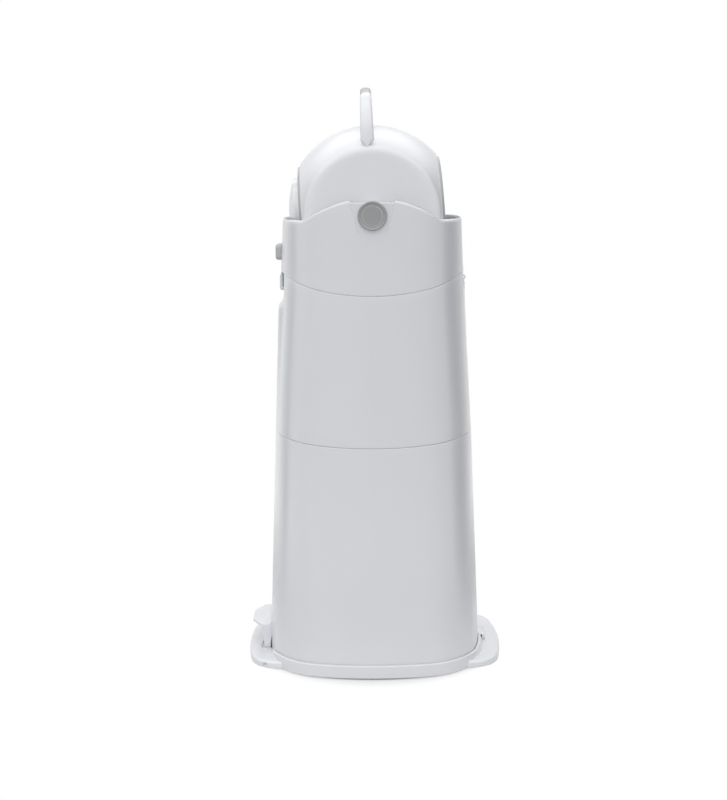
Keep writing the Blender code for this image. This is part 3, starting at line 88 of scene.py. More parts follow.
def linear(text):
    """An sRGB hex colour as linear red, green and blue."""
    values = [int(text[i : i + 2], 16) / 255 for i in (0, 2, 4)]
    return tuple(v / 12.92 if v <= 0.04045 else ((v + 0.055) / 1.055) ** 2.4 for v in values)


def length(name, metres, words):
    return FloatProperty(name=name, description=words, default=metres, min=0, unit="LENGTH", precision=5)


def colour(name, text, words):
    return FloatVectorProperty(
        name=name, description=words, default=linear(text), size=3, min=0, max=1, subtype="COLOR"
    )


class NappyBinBody(bpy.types.PropertyGroup):
    seat_z: length("Seat height", 0.010, "Height of the bucket's underside")
    lower_seam_z: length("Lower seam height", 0.288, "Top of the bucket at its corners")
    lower_seam_dip: length("Lower seam dip", 0.009, "How far the lower seam sags on each side")
    upper_seam_z: length("Upper seam height", 0.477, "Foot of the head at its corners")
    upper_seam_dip: length("Upper seam dip", 0.020, "How far the upper seam sags on each side")
    upper_seam_lift: length("Upper seam lift", 0.0048, "How far the upper seam rises at front and rear")
    rim_z: length("Rim height", 0.544, "Top of the head's level rim")
    arch_h: length("Arch height", 0.026, "Rise of each side wall over the rim")
    arch_half: length("Arch half width", 0.0806, "Half width of that arch")
    wall: length("Wall", 0.0028, "Wall of the two body mouldings")
    head_wall: length("Head wall", 0.0024, "Wall of the head")
    seam_gap: length("Seam gap", 0.0003, "Gap between two mouldings")
    rim_round: length("Rim rounding", 0.0044, "Rounding of the head's top edge")
    rim_roll: length("Rim roll", 0.0034, "How far the head's top edge is rolled inwards")
    panel_proud: length("Panel step", 0.0038, "How far the front panel stands out")
    lip_proud: length("Lip step", 0.0023, "How far the head's foot stands out at the front")
    recess_depth: length("Recess depth", 0.0026, "Depth of the finger recess over the panel")
    side_steps: IntProperty(name="Side steps", description="Points on half a side", default=14, min=4)
    corner_steps: IntProperty(name="Corner steps", description="Points on a corner", default=20, min=4)


class NappyBinBase(bpy.types.PropertyGroup):
    reach: length("Lobe reach", 0.1585, "From the middle to the end of each lobe")
    half_x: length("Lobe half width", 0.098, "Half width of the lobes")
    corner_r: length("Lobe corner", 0.038, "Radius of the lobes' corners")
    end_r: length("Lobe end", 0.371, "Radius of the lobes' ends")
    foot_gap: length("Skirt height", 0.0015, "Height of the skirt's edge over the floor")
    top_round: length("Top rounding", 0.0034, "Rounding of the plate's upper edge")
    kerb_z: length("Kerb height", 0.0172, "Top of the kerb")
    kerb_half: length("Kerb half width", 0.135, "Half width of the kerb")
    tread_z: length("Tread height", 0.040, "Top of the foot catch's tread")
    tread_t: length("Tread thickness", 0.003, "Thickness of the tread")


class NappyBinDrum(bpy.types.PropertyGroup):
    pivot_z: length("Pivot height", 0.5495, "Height of the drum's axis")
    radius: length("Drum radius", 0.105, "Radius of the barrel at its middle")
    ellipse: length("Barrel ellipse", 0.135, "Half length of the ellipse that the barrel's side follows")
    shoulder_x: length("Shoulder", 0.0865, "Where the barrel's side starts to turn into its end face")
    face_x: length("Face place", 0.092, "Place of the end faces on the axis")
    face_r: length("Face radius", 0.0685, "Radius of the flat of an end face")
    end_y: length("Chamber end", 0.0827, "Half length of the drum across its two flat ends")
    end_round: length("End rounding", 0.0012, "Rounding where a flat end meets the barrel")
    tilt: FloatProperty(
        name="Tilt", description="Turn of the drum at rest", default=math.radians(4), subtype="ANGLE"
    )
    bore_r: length("Chamber bore", 0.053, "Radius of the chamber")
    neck_r: length("Neck", 0.0492, "Radius of the mouth at each end")
    rim_x: length("End rim half width", 0.0715, "Half width of the oval rim")
    rim_z: length("End rim half height", 0.0615, "Half height of the oval rim")
    rim_t: length("End rim thickness", 0.0026, "Thickness of the oval rim")
    handle_r: length("Handle reach", 0.151, "From the axis to the outside of the handle")
    handle_t: length("Handle thickness", 0.009, "Thickness of the handle")
    handle_top: length("Handle top half width", 0.0065, "Half width of the handle at its top")
    handle_foot: length("Handle foot half width", 0.0085, "Half width of the handle at its feet")
    handle_span: length("Handle half span", 0.085, "From the middle to the centre of each leg")
    handle_lean: length("Handle lean", 0.003, "How far the handle's top leans to the rear")
    foot_tip: length("Handle tip", 0.0775, "Height over the axis where each foot comes to its point")
    foot_taper: length("Handle taper", 0.0085, "Height over which each foot narrows to its point")
    handle_z: length("Handle spring", 0.070, "Height over the axis where the arch starts")


class NappyBinColours(bpy.types.PropertyGroup):
    white: colour("White", "E4E5E8", "The glossy outer mouldings")
    # The drum white is the outer white painted lighter: painted light, for the stronger light from above on the
    # drum.
    drum: colour("Drum white", "EDEDF0", "Drum, handle and piston faces")
    liner: colour("Liner", "DADBDD", "The inner mouldings")
    grey: colour("Grey", "9B9D9D", "Badges and the handle's grip")
    middle: colour("Middle grey", "B9BBBB", "Button")
    pale: colour("Pale grey", "E2E4E4", "Latch lever and the badges' beads")
    rim: colour("End rim", "ACADAF", "The rims at the chamber's ends")
    seal: colour("Seal", "8A8B8D", "Seal and wipers")
    rubber: colour("Feet", "3C3D3F", "The feet")
    steel: colour("Steel", "C8C8C6", "Pins, screws, springs and weight")
    floor: colour("Floor", "F6F6F6", "The paper sweep that the bin stands on")


def body():
    return bpy.context.scene.nappy_bin_body


def base():
    return bpy.context.scene.nappy_bin_base


def drum():
    return bpy.context.scene.nappy_bin_drum


def colours():
    return bpy.context.scene.nappy_bin_colours


# Materials


def node(tree, kind, links=None, **settings):
    """Adds one node. Settings are its properties or, by name or number in links, its inputs."""
    made = tree.nodes.new(kind)
    for name, value in settings.items():
        setattr(made, name, value)
    for name, value in (links or {}).items():
        socket = made.inputs[name]
        if isinstance(value, bpy.types.NodeSocket):
            tree.links.new(value, socket)
        else:
            socket.default_value = value
    return made


def material(name, tint, roughness, metallic=0.0, **constants):
    """A principled material with its constants set on the shader. Returns it, its tree and its shader."""
    made = bpy.data.materials.new(name)
    made.use_nodes = True
    tree = made.node_tree
    shader = tree.nodes["Principled BSDF"]
    shader.inputs["Base Color"].default_value = (*tint, 1)
    shader.inputs["Roughness"].default_value = roughness
    shader.inputs["Metallic"].default_value = metallic
    for key, value in constants.items():
        shader.inputs[key.replace("_", " ")].default_value = value
    return made, tree, shader


def ramp(tree, value, start, end, low=0.0, high=1.0):
    """Maps start to end onto low to high."""
    links = {0: value, 1: start, 2: end, 3: low, 4: high}
    return node(tree, "ShaderNodeMapRange", links).outputs["Result"]


def times(tree, one, other):
    """The product of two values."""
    return node(tree, "ShaderNodeMath", {0: one, 1: other}, operation="MULTIPLY").outputs[0]


def noise(tree, place, size_mm, detail):
    """A noise whose clouds are about so many millimetres across."""
    links = {"Vector": place, "Scale": 1000 / size_mm, "Detail": detail}
    return node(tree, "ShaderNodeTexNoise", links).outputs["Fac"]


def mixed_colour(tree, share, first, second):
    return node(tree, "ShaderNodeMix", {0: share, 6: first, 7: second}, data_type="RGBA").outputs[2]


def moulded(name, tint, roughness, grain_mm, grain_strength, wave_strength, spread, grip=None, ior=1.53):
    """A moulded plastic: faint grain from the tool, long soft waves from shrinkage, and uneven gloss.

    A grip is a tint and the half length, on both sides of the middle, over which it takes the place of
    the plastic's own.
    """
    wave_mm, wave_height, cloud_mm, darker_share, grip_edge = 45, 0.002, 70, 0.985, 0.0002
    made, tree, shader = material(name, tint, roughness, IOR=ior)
    place = node(tree, "ShaderNodeTexCoord").outputs["Object"]
    grain, waves = noise(tree, place, grain_mm, 3.0), noise(tree, place, wave_mm, 1.0)
    wavy = {"Height": waves, "Strength": wave_strength, "Distance": wave_height}
    low = node(tree, "ShaderNodeBump", wavy).outputs["Normal"]
    grainy = {"Height": grain, "Strength": grain_strength, "Distance": grain_mm / 8000, "Normal": low}
    fine = node(tree, "ShaderNodeBump", grainy)
    tree.links.new(fine.outputs["Normal"], shader.inputs["Normal"])
    even = ramp(tree, noise(tree, place, cloud_mm, 4.0), 0.3, 0.7)
    gloss = ramp(tree, even, 0.0, 1.0, roughness - spread, roughness + spread)
    tree.links.new(gloss, shader.inputs["Roughness"])
    darker = [channel * darker_share for channel in tint]
    shade = mixed_colour(tree, even, (*darker, 1), (*tint, 1))
    if grip:
        grip_tint, half_x = grip
        along = node(tree, "ShaderNodeSeparateXYZ", {"Vector": place}).outputs["X"]
        away = node(tree, "ShaderNodeMath", {0: along}, operation="ABSOLUTE").outputs[0]
        edge = ramp(tree, away, half_x - grip_edge, half_x)
        shade = mixed_colour(tree, edge, (*grip_tint, 1), shade)
    tree.links.new(shade, shader.inputs["Base Color"])
    return made


def make_materials():
    tints = colours()
    # Injection moulded in a polished tool: a clear gloss with barely any grain, slightly uneven over
    # a hand's breadth. Roughness, grain in millimetres, grain strength, wave strength, gloss spread.
    polished = (0.22, 1.4, 0.05, 0.02, 0.03)
    made = {}
    # ABS, the outer mouldings' white.
    made["white_plastic"] = moulded("gloss_white_abs", tints.white, *polished)
    # The same ABS, painted a lighter white on the drum and the piston faces: painted light, for the stronger light
    # from above that the drum catches.
    made["drum_white_painted_lighter"] = moulded("gloss_abs_painted_lighter", tints.drum, *polished)
    # The handle: the drum's lighter white, painted light in the same way, and a grey over the middle of its
    # length.
    made["handle_white_painted_lighter"] = moulded("gloss_handle_abs_painted_lighter", tints.drum, *polished, (tints.grey, GRIP_HALF))
    # Polypropylene from a plain tool: satin, a shade darker than the shell.
    made["liner_plastic"] = moulded("satin_liner_pp", tints.liner, 0.42, 0.9, 0.15, 0.02, 0.05, ior=1.49)
    # ABS with a spark-eroded finish: satin grey with a grain that a finger can feel.
    made["grey_plastic"] = moulded("eroded_grey_abs", tints.grey, 0.46, 0.7, 0.30, 0.0, 0.05)
    # The same plastic in the lighter greys of the button and the latch.
    made["mid_grey"] = moulded("mid_grey_abs", tints.middle, 0.40, 0.7, 0.25, 0.0, 0.05)
    made["pale_grey"] = moulded("pale_grey_abs", tints.pale, 0.40, 0.7, 0.25, 0.0, 0.05)
    # Polypropylene, grey all through: a smooth satin ring that nappies rub against.
    made["rim_plastic"] = moulded("satin_grey_pp", tints.rim, 0.36, 1.0, 0.15, 0.0, 0.05, ior=1.49)
    # Thermoplastic elastomer: soft, nearly matt.
    made["seal_rubber"] = moulded("soft_seal_tpe", tints.seal, 0.62, 0.6, 0.3, 0.0, 0.04, ior=1.5)
    # Vulcanised rubber: matt and dark, with a dusty grain.
    made["foot_rubber"] = moulded("foot_rubber", tints.rubber, 0.78, 0.8, 0.5, 0.0, 0.05, ior=1.52)
    # Drawn steel wire and turned pins, zinc plated: bright, with a fine uneven grain.
    steel, tree, shader = material("plated_steel", tints.steel, 0.28, 1.0)
    lines = noise(tree, node(tree, "ShaderNodeTexCoord").outputs["Object"], 0.8, 2.0)
    bump = node(tree, "ShaderNodeBump", {"Height": lines, "Strength": 0.2, "Distance": 0.0001})
    tree.links.new(bump.outputs["Normal"], shader.inputs["Normal"])
    tree.links.new(ramp(tree, lines, 0.3, 0.7, 0.22, 0.36), shader.inputs["Roughness"])
    made["steel"] = steel
    return made


FINISHES = {}


# Meshes


def as_piece(name, shape, slot, nodes=(), rider="bin", sharp=38, finish=None):
    """Turns a closed bmesh or mesh into a finished piece on its body, in its slot's finish or another."""
    if isinstance(shape, bmesh.types.BMesh):
        bmesh.ops.remove_doubles(shape, verts=shape.verts, dist=2e-6)
        bmesh.ops.recalc_face_normals(shape, faces=shape.faces)
        mesh = bpy.data.meshes.new(name)
        shape.to_mesh(mesh)
        shape.free()
    else:
        mesh = shape
        mesh.name = name
    mesh.shade_smooth()
    mesh.set_sharp_from_angle(angle=math.radians(sharp))
    mesh.materials.clear()
    mesh.materials.append(FINISHES[finish or slot])
    made = bpy.data.objects.new(name, mesh)
    bpy.context.scene.collection.objects.link(made)
    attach(made, rider)
    if nodes:
        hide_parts(*nodes)
    return made


def loft(rings, closed=False, caps=True):
    """Skins rings of equally many points into a bmesh."""
    shape = bmesh.new()
    rows = [[shape.verts.new(point) for point in ring] for ring in rings]
    count = len(rows[0])
    pairs = list(zip(rows, rows[1:]))
    if closed:
        pairs.append((rows[-1], rows[0]))
    elif caps:
        shape.faces.new(rows[0])
        shape.faces.new(rows[-1])
    for low, high in pairs:
        for i in range(count):
            j = (i + 1) % count
            shape.faces.new((low[i], low[j], high[j], high[i]))
    bmesh.ops.remove_doubles(shape, verts=shape.verts, dist=2e-6)
    bmesh.ops.recalc_face_normals(shape, faces=shape.faces)
    return shape


def solid(shape):
    """A temporary object that holds a bmesh or a mesh, for Booleans."""
    mesh = shape
    if isinstance(shape, bmesh.types.BMesh):
        mesh = bpy.data.meshes.new("blank")
        shape.to_mesh(mesh)
        shape.free()
    made = bpy.data.objects.new("blank", mesh)
    bpy.context.scene.collection.objects.link(made)
    return made


def applied(blank):
    """The evaluated mesh of a temporary object, which is removed."""
    graph = bpy.context.evaluated_depsgraph_get()
    mesh = bpy.data.meshes.new_from_object(blank.evaluated_get(graph))
    bpy.data.objects.remove(blank, do_unlink=True)
    return mesh


def carve(shape, tools, operation="DIFFERENCE"):
    """Applies exact Booleans of closed shapes to a closed shape and returns the mesh."""
    blank = solid(shape)
    cutters = [solid(tool) for tool in tools]
    for cutter in cutters:
        step = blank.modifiers.new("carve", "BOOLEAN")
        step.operation = operation
        step.solver = "EXACT"
        step.object = cutter
    mesh = applied(blank)
    for cutter in cutters:
        bpy.data.objects.remove(cutter, do_unlink=True)
    return mesh


def bmesh_of(mesh):
    """A mesh taken back into a bmesh."""
    shape = bmesh.new()
    shape.from_mesh(mesh)
    bpy.data.meshes.remove(mesh)
    return shape


def bevelled(shape, width, segments=3, angle=30):
    """Rounds the sharp edges of a closed bmesh."""
    blank = solid(shape)
    step = blank.modifiers.new("edges", "BEVEL")
    step.width = width
    step.segments = segments
    step.limit_method = "ANGLE"
    step.angle_limit = math.radians(angle)
    return bmesh_of(applied(blank))


def prism(outline, axis, start, end, width=0.0, segments=3):
    """A flat outline pushed along an axis, with its edges rounded by width."""
    places = {
        "X": lambda a, b, c: (c, a, b),
        "Y": lambda a, b, c: (a, c, b),
        "Z": lambda a, b, c: (a, b, c),
    }[axis]
    shape = loft([[places(a, b, c) for a, b in outline] for c in (start, end)])
    return bevelled(shape, width, segments) if width else shape


def rectangle(left, right, low, high):
    return [(left, low), (right, low), (right, high), (left, high)]


def block(low, high, width=0.0, segments=3):
    corners = rectangle(low[0], high[0], low[1], high[1])
    return prism(corners, "Z", low[2], high[2], width, segments)


def turned(profile, axis, steps=96, closed=False, centre=(0, 0, 0)):
    """Turns (place along the axis, radius) points about an axis."""
    angles = np.arange(steps) * math.tau / steps
    rings = []
    for along, radius in profile:
        a, b = radius * np.cos(angles), radius * np.sin(angles)
        c = np.full(steps, along)
        columns = {"X": (c, a, b), "Y": (b, c, a), "Z": (a, b, c)}[axis]
        rings.append(np.stack(columns, 1) + np.array(centre))
    return loft(rings, closed)


def rod(axis, start, end, radius, centre=(0, 0, 0), steps=32):
    """A straight round bar, or the cutter for a round hole."""
    return turned([(start, radius), (end, radius)], axis, steps, centre=centre)


def span(side, near, far):
    """Two distances from the middle as places on one side of it, the lower place first."""
    return sorted((side * near, side * far))


def middle_of(name):
    """The middle of a CAD node's box."""
    low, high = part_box(name)
    return [(a + b) / 2 for a, b in zip(low, high)]


def rounded(points, radii, steps=5, closed=False):
    """Rounds the corners of a flat polyline, each by its own radius."""
    made = []
    count = len(points)
    for i, (point, radius) in enumerate(zip(points, radii)):
        here = Vector(point)
        if radius == 0 or (not closed and i in (0, count - 1)):
            made.append(tuple(here))
            continue
        before = (Vector(points[i - 1]) - here).normalized()
        after = (Vector(points[(i + 1) % count]) - here).normalized()
        half = before.angle(after) / 2
        reach = radius / math.tan(half)
        start, end = here + before * reach, here + after * reach
        centre = here + (before + after).normalized() * (radius / math.sin(half))
        from_centre, to_centre = start - centre, end - centre
        turn = from_centre.angle_signed(to_centre)
        for k in range(steps + 1):
            angle = -turn * k / steps
            cos, sin = math.cos(angle), math.sin(angle)
            x, y = from_centre
            made.append((centre.x + x * cos - y * sin, centre.y + x * sin + y * cos))
    return made


# The body's outline


def make_outline():
    """The rounded square of the body as shares of its half sizes, its sides bowed outwards."""
    sizes = body()
    bow, corner = 0.18, 0.35
    core = 1 / (1 + bow)
    start = core * (1 - corner)
    radius = core * corner
    quarter = [(start * i / sizes.side_steps, -core) for i in range(sizes.side_steps)]
    for i in range(sizes.corner_steps + 1):
        angle = math.pi / 2 * i / sizes.corner_steps
        quarter.append((start + radius * math.sin(angle), -start - radius * math.cos(angle)))
    quarter += [(core, -start * i / sizes.side_steps) for i in range(sizes.side_steps - 1, 0, -1)]
    points = []
    for turn in range(4):
        for x, y in quarter:
            for _ in range(turn):
                x, y = -y, x
            points.append((x, y))
    points = np.array(points)
    for _ in range(10):
        points = (np.roll(points, 1, 0) + 2 * points + np.roll(points, -1, 0)) / 4
    x, y = points[:, 0], points[:, 1]
    bowed = np.stack((x * (1 + bow * (1 - (y / core) ** 2)), y * (1 + bow * (1 - (x / core) ** 2))), 1)
    return bowed[:, 0], bowed[:, 1]


def half_sizes(z):
    """The body's half sizes at each height: straight tapers from one level to the next."""
    sizes = body()
    levels = [sizes.seat_z, sizes.lower_seam_z, sizes.upper_seam_z, sizes.rim_z]
    made = []
    for halves in (HALF_WIDTHS, HALF_DEPTHS):
        slope = (halves[-1] - halves[-2]) / (levels[-1] - levels[-2])
        over = np.maximum(np.asarray(z) - levels[-1], 0)
        made.append(np.interp(z, levels, halves) + slope * over)
    return made


def lower_seam(u, v):
    return body().lower_seam_z - body().lower_seam_dip * (1 - v * v)


def upper_seam(u, v):
    sizes = body()
    return sizes.upper_seam_z - sizes.upper_seam_dip * (1 - v * v) + sizes.upper_seam_lift * v**6


def soft_max(a, b, k):
    h = np.clip(0.5 + 0.5 * (a - b) / k, 0, 1)
    return b * (1 - h) + a * h + k * h * (1 - h)


def head_top(u, v):
    """The head's top edge: a level rim, with an arch over each side wall."""
    sizes = body()
    y = np.abs(v) * HALF_DEPTHS[-1]
    radius = (sizes.arch_half**2 + sizes.arch_h**2) / (2 * sizes.arch_h)
    rise = sizes.arch_h - radius + np.sqrt(np.maximum(radius**2 - y**2, 0))
    off_side, soft = -0.02, 0.0016
    rise = np.where(np.abs(u) > np.abs(v), rise, off_side)
    return sizes.rim_z + soft_max(rise, np.zeros_like(rise), soft)


def level(z):
    return lambda u, v: np.full_like(u, z)


def smooth(share):
    """Eases a share from zero to one, with no kink at either end."""
    share = np.clip(share, 0, 1)
    return share * share * (3 - 2 * share)


def face_shares(u):
    """How fully a relief stands at places across the front or the rear. It fades towards the corners."""
    return smooth((FACE_EDGE_SHARE - np.abs(u)) / FACE_FADE_SHARE)


def swell(u, z):
    """How far the rear bulges out of its taper, most of all at the hinge."""
    heights, bulges = (0.30, 0.39, 0.447, 0.479, 0.536), (0, 0.0008, 0.0017, 0.0014, 0)
    return np.interp(z, heights, bulges) * face_shares(u)


def front_relief(u, v, z):
    """How far the middle section's front stands out of its taper: a panel, and a finger recess over it."""
    sizes = body()
    heights = (sizes.lower_seam_z, 0.4335, 0.4385, 0.4455, 0.449, sizes.upper_seam_z)
    proud, deep, top = sizes.panel_proud, sizes.recess_depth, -0.0007
    amount = np.interp(z, heights, (0, proud, proud * 0.8, -deep * 0.85, -deep, top), left=0)
    side = smooth((PANEL_EDGE_SHARE - np.abs(u)) / PANEL_FADE_SHARE)
    return np.where(v < 0, amount * side, -swell(u, z))


def head_relief(u, v, z):
    """How far the head's front stands out of its taper: a lip over the latch at its foot, none at the rim."""
    proud = body().lip_proud
    amount = np.interp(z, (0.479, 0.488, 0.536), (proud, proud * 0.9, 0))
    return np.where(v < 0, amount * face_shares(u), -swell(u, z))


def body_ring(inset, bottom, top, share, rise=0.0, relief=None):
    """One ring of the body, at a share of the way from a bottom edge to a top edge."""
    u, v = OUTLINE
    z = bottom(u, v) * (1 - share) + top(u, v) * share + rise
    half_x, half_y = half_sizes(z)
    y = (half_y - inset) * v
    if relief:
        y = y - relief(u, v, z)
    return np.stack(((half_x - inset) * u, y, z), 1)


def edge_stations(inset, share, rise, run, steps=5, outward=True):
    """Stations of a quarter round. It starts on the wall, run below the edge, and ends on the top face."""
    across, up = run
    made = []
    for i in range(steps + 1):
        angle = math.pi / 2 * i / steps
        step_in = across * (1 - math.cos(angle))
        step_up = -up * (1 - math.sin(angle))
        made.append((inset + (step_in if outward else -step_in), share, rise + step_up))
    return made


def wall_x(y, z):
    """The body's half width at places on its side wall."""
    u, v = OUTLINE
    side = u > np.abs(v)
    order = np.argsort(v[side])
    vs, us = v[side][order], u[side][order]
    half_x, half_y = half_sizes(z)
    return np.interp(np.asarray(y) / half_y, vs, us) * half_x


OUTLINE = (np.zeros(1), np.zeros(1))


# Pieces


def spigot_stations(wall, height):
    """The thinner edge that stands up inside the moulding above, with a lead round its top."""
    lead_in, lead_up = 0.0003, 0.0004
    stations = [(SPIGOT_IN, 0.0), (SPIGOT_IN, height - lead_up), (SPIGOT_IN + lead_in, height)]
    return [(inset, 1, rise) for inset, rise in stations + [(wall, height)]]


def socket_stations(wall, gap, spigot_height):
    """The rebate in a moulding's foot that takes the spigot below it."""
    height = spigot_height + 2 * gap
    return [(wall, 0, height), (SPIGOT_IN - gap, 0, height), (SPIGOT_IN - gap, 0, gap)]


def foot_round(gap, run):
    """Stations of the rounded edge round a moulding's foot, from its underside up."""
    return [(inset, 0, gap - rise) for inset, _, rise in reversed(edge_stations(0, 0, 0, run))]


def bucket_shape():
    sizes = body()
    wall, gap = sizes.wall, sizes.seam_gap
    foot_in, foot_run, lip_run, floor_soft = 0.0022, (0.0016, 0.0016), (0.0011, 0.0013), 0.002
    stations = [(foot_in, 0, 0.0)] + foot_round(0.0, foot_run)
    stations += [(0, share, 0.0) for share in np.linspace(0.04, 0.96, 14)]
    stations += edge_stations(0, 1, 0.0, lip_run) + spigot_stations(wall, LOWER_SPIGOT)
    stations += [(wall, share, 0.0) for share in (0.96, 0.5, 0.05)]
    stations += [(wall, 0, wall + floor_soft), (wall + floor_soft, 0, wall)]
    floor = level(sizes.seat_z + gap)
    return loft([body_ring(i, floor, lower_seam, s, r) for i, s, r in stations])


def middle_shape():
    sizes = body()
    wall, gap, foot_in = sizes.wall, sizes.seam_gap, 0.0011
    coarse_shares, fine_shares = np.linspace(0.05, 0.70, 14), np.linspace(0.74, 0.92, 32)
    outer = [(foot_in, 0, gap)] + foot_round(gap, SEAM_RUN)
    outer += [(0, share, 0.0) for share in (*coarse_shares, *fine_shares, 0.96)]
    outer += edge_stations(0, 1, 0.0, SEAM_RUN) + spigot_stations(wall, UPPER_SPIGOT)
    inner = [(wall, share, 0.0) for share in (0.96, 0.90, 0.84, 0.79)]
    foot = [(wall, 0.05, 0.0)] + socket_stations(wall, gap, LOWER_SPIGOT)
    rings = [body_ring(i, lower_seam, upper_seam, s, r, front_relief) for i, s, r in outer + inner]
    ledge_z, ledge_t, reach, soft = 0.431, 0.0025, 0.0045, 0.0004
    for inset, z, relief in (
        (wall, ledge_z, front_relief),
        (wall + reach - soft, ledge_z, None),
        (wall + reach, ledge_z - soft, None),
        (wall + reach, ledge_z - ledge_t, None),
        (wall, ledge_z - ledge_t - reach / 2, front_relief),
    ):
        rings.append(body_ring(inset, level(z), level(z), 0, 0, relief))
    rings += [body_ring(i, lower_seam, upper_seam, s, r, front_relief) for i, s, r in foot]
    return loft(rings, closed=True)


def head_shape():
    sizes = body()
    wall, gap, soft = sizes.head_wall, sizes.seam_gap, sizes.rim_round
    least_roll, roll_down, wall_down = 0.0006, -0.012, -0.016
    stations = foot_round(gap, SEAM_RUN)
    stations += [(0, share, 0.0) for share in np.linspace(0.06, 0.86, 10)]
    # The roll is thinner at the middle of the front and the rear, where the drum swings past.
    roll = wall + least_roll + sizes.rim_roll * smooth((np.abs(OUTLINE[0]) - 0.42) / 0.30)
    stations += edge_stations(0, 1, 0.0, (roll * 0.55, soft), 8)
    stations += edge_stations(roll, 1, 0.0, (roll * 0.44, soft * 1.8), 8, outward=False)[::-1]
    stations += [(roll, 1, roll_down), (wall, 1, wall_down)]
    stations += [(wall, share, 0.0) for share in (0.8, 0.4)] + socket_stations(wall, gap, UPPER_SPIGOT)
    rings = [body_ring(i, upper_seam, head_top, s, r, head_relief) for i, s, r in stations]
    return loft(rings, closed=True)


def keeper_half(z, grow=0.0):
    """A keeper's half width at a height. It widens evenly from its foot upwards."""
    (low, narrow), (high, wide) = KEEPER_FOOT, KEEPER_SHOULDER
    return wide + grow - (high - z) * (wide - narrow) / (high - low)


def lobe_points(inset, steps=40):
    """The two lobes' outline: straight sides, round corners and gently curved ends."""
    sizes = base()
    half_x, reach = sizes.half_x - inset, sizes.reach - inset
    corner_r, end_r = sizes.corner_r - inset, sizes.end_r - inset
    corner_x = half_x - corner_r
    corner_y = reach - end_r + math.sqrt((end_r - corner_r) ** 2 - corner_x**2)
    tangent = math.asin(corner_x / (end_r - corner_r))
    quarter = []
    for i in range(steps // 2):
        angle = tangent * i / (steps // 2)
        quarter.append((end_r * math.sin(angle), reach - end_r + end_r * math.cos(angle)))
    for i in range(steps + 1):
        angle = tangent + (math.pi / 2 - tangent) * i / steps
        quarter.append((corner_x + corner_r * math.sin(angle), corner_y + corner_r * math.cos(angle)))
    right = quarter + [(x, -y) for x, y in reversed(quarter)]
    left = [(-x, y) for x, y in reversed(right) if x > 0]
    return right + left


def outline_points(half_x, half_y):
    u, v = OUTLINE
    return list(zip(u * half_x, v * half_y))


def raised(points_at, stations):
    """A solid from a function of an inset, at (inset, height) stations."""
    return loft([[(x, y, z) for x, y in points_at(inset)] for inset, z in stations])


def kerb_points(inset):
    half = base().kerb_half - inset
    return outline_points(half, half)


def quarter_round(radius, top):
    """Stations of a plate's rounded upper edge."""
    angles = np.linspace(0, math.pi / 2, 7)
    return [(radius * (1 - math.cos(a)), top - radius * (1 - math.sin(a))) for a in angles]


def kerb_fillet():
    """The small fillet between the kerb and the lobes. It fades out towards the lobes' sides."""
    sizes = base()
    buried, reach, fade, inside, side_gap, skirt = body().seat_z - 0.002, 0.0055, 0.030, 0.004, 0.001, 0.0015
    lobe_inset, lobe_low, lobe_high = 0.0034, 0.005, 0.03
    stations = [(-reach * share, (1 - share) ** 2) for share in np.linspace(1, 0, 10)]
    rings = []
    for inset, rise in [(inside, 0), *stations, (inside, 1)]:
        ring = np.array(kerb_points(inset))
        side = smooth((sizes.half_x - side_gap - np.abs(ring[:, 0])) / fade)
        depth = skirt if inset > 0 and rise == 0 else 0
        rings.append(np.column_stack((ring, buried - depth + (sizes.kerb_z - buried) * rise * side)))
    lobes = prism(lobe_points(lobe_inset), "Z", lobe_low, lobe_high)
    return carve(loft(rings), [lobes], "INTERSECT")


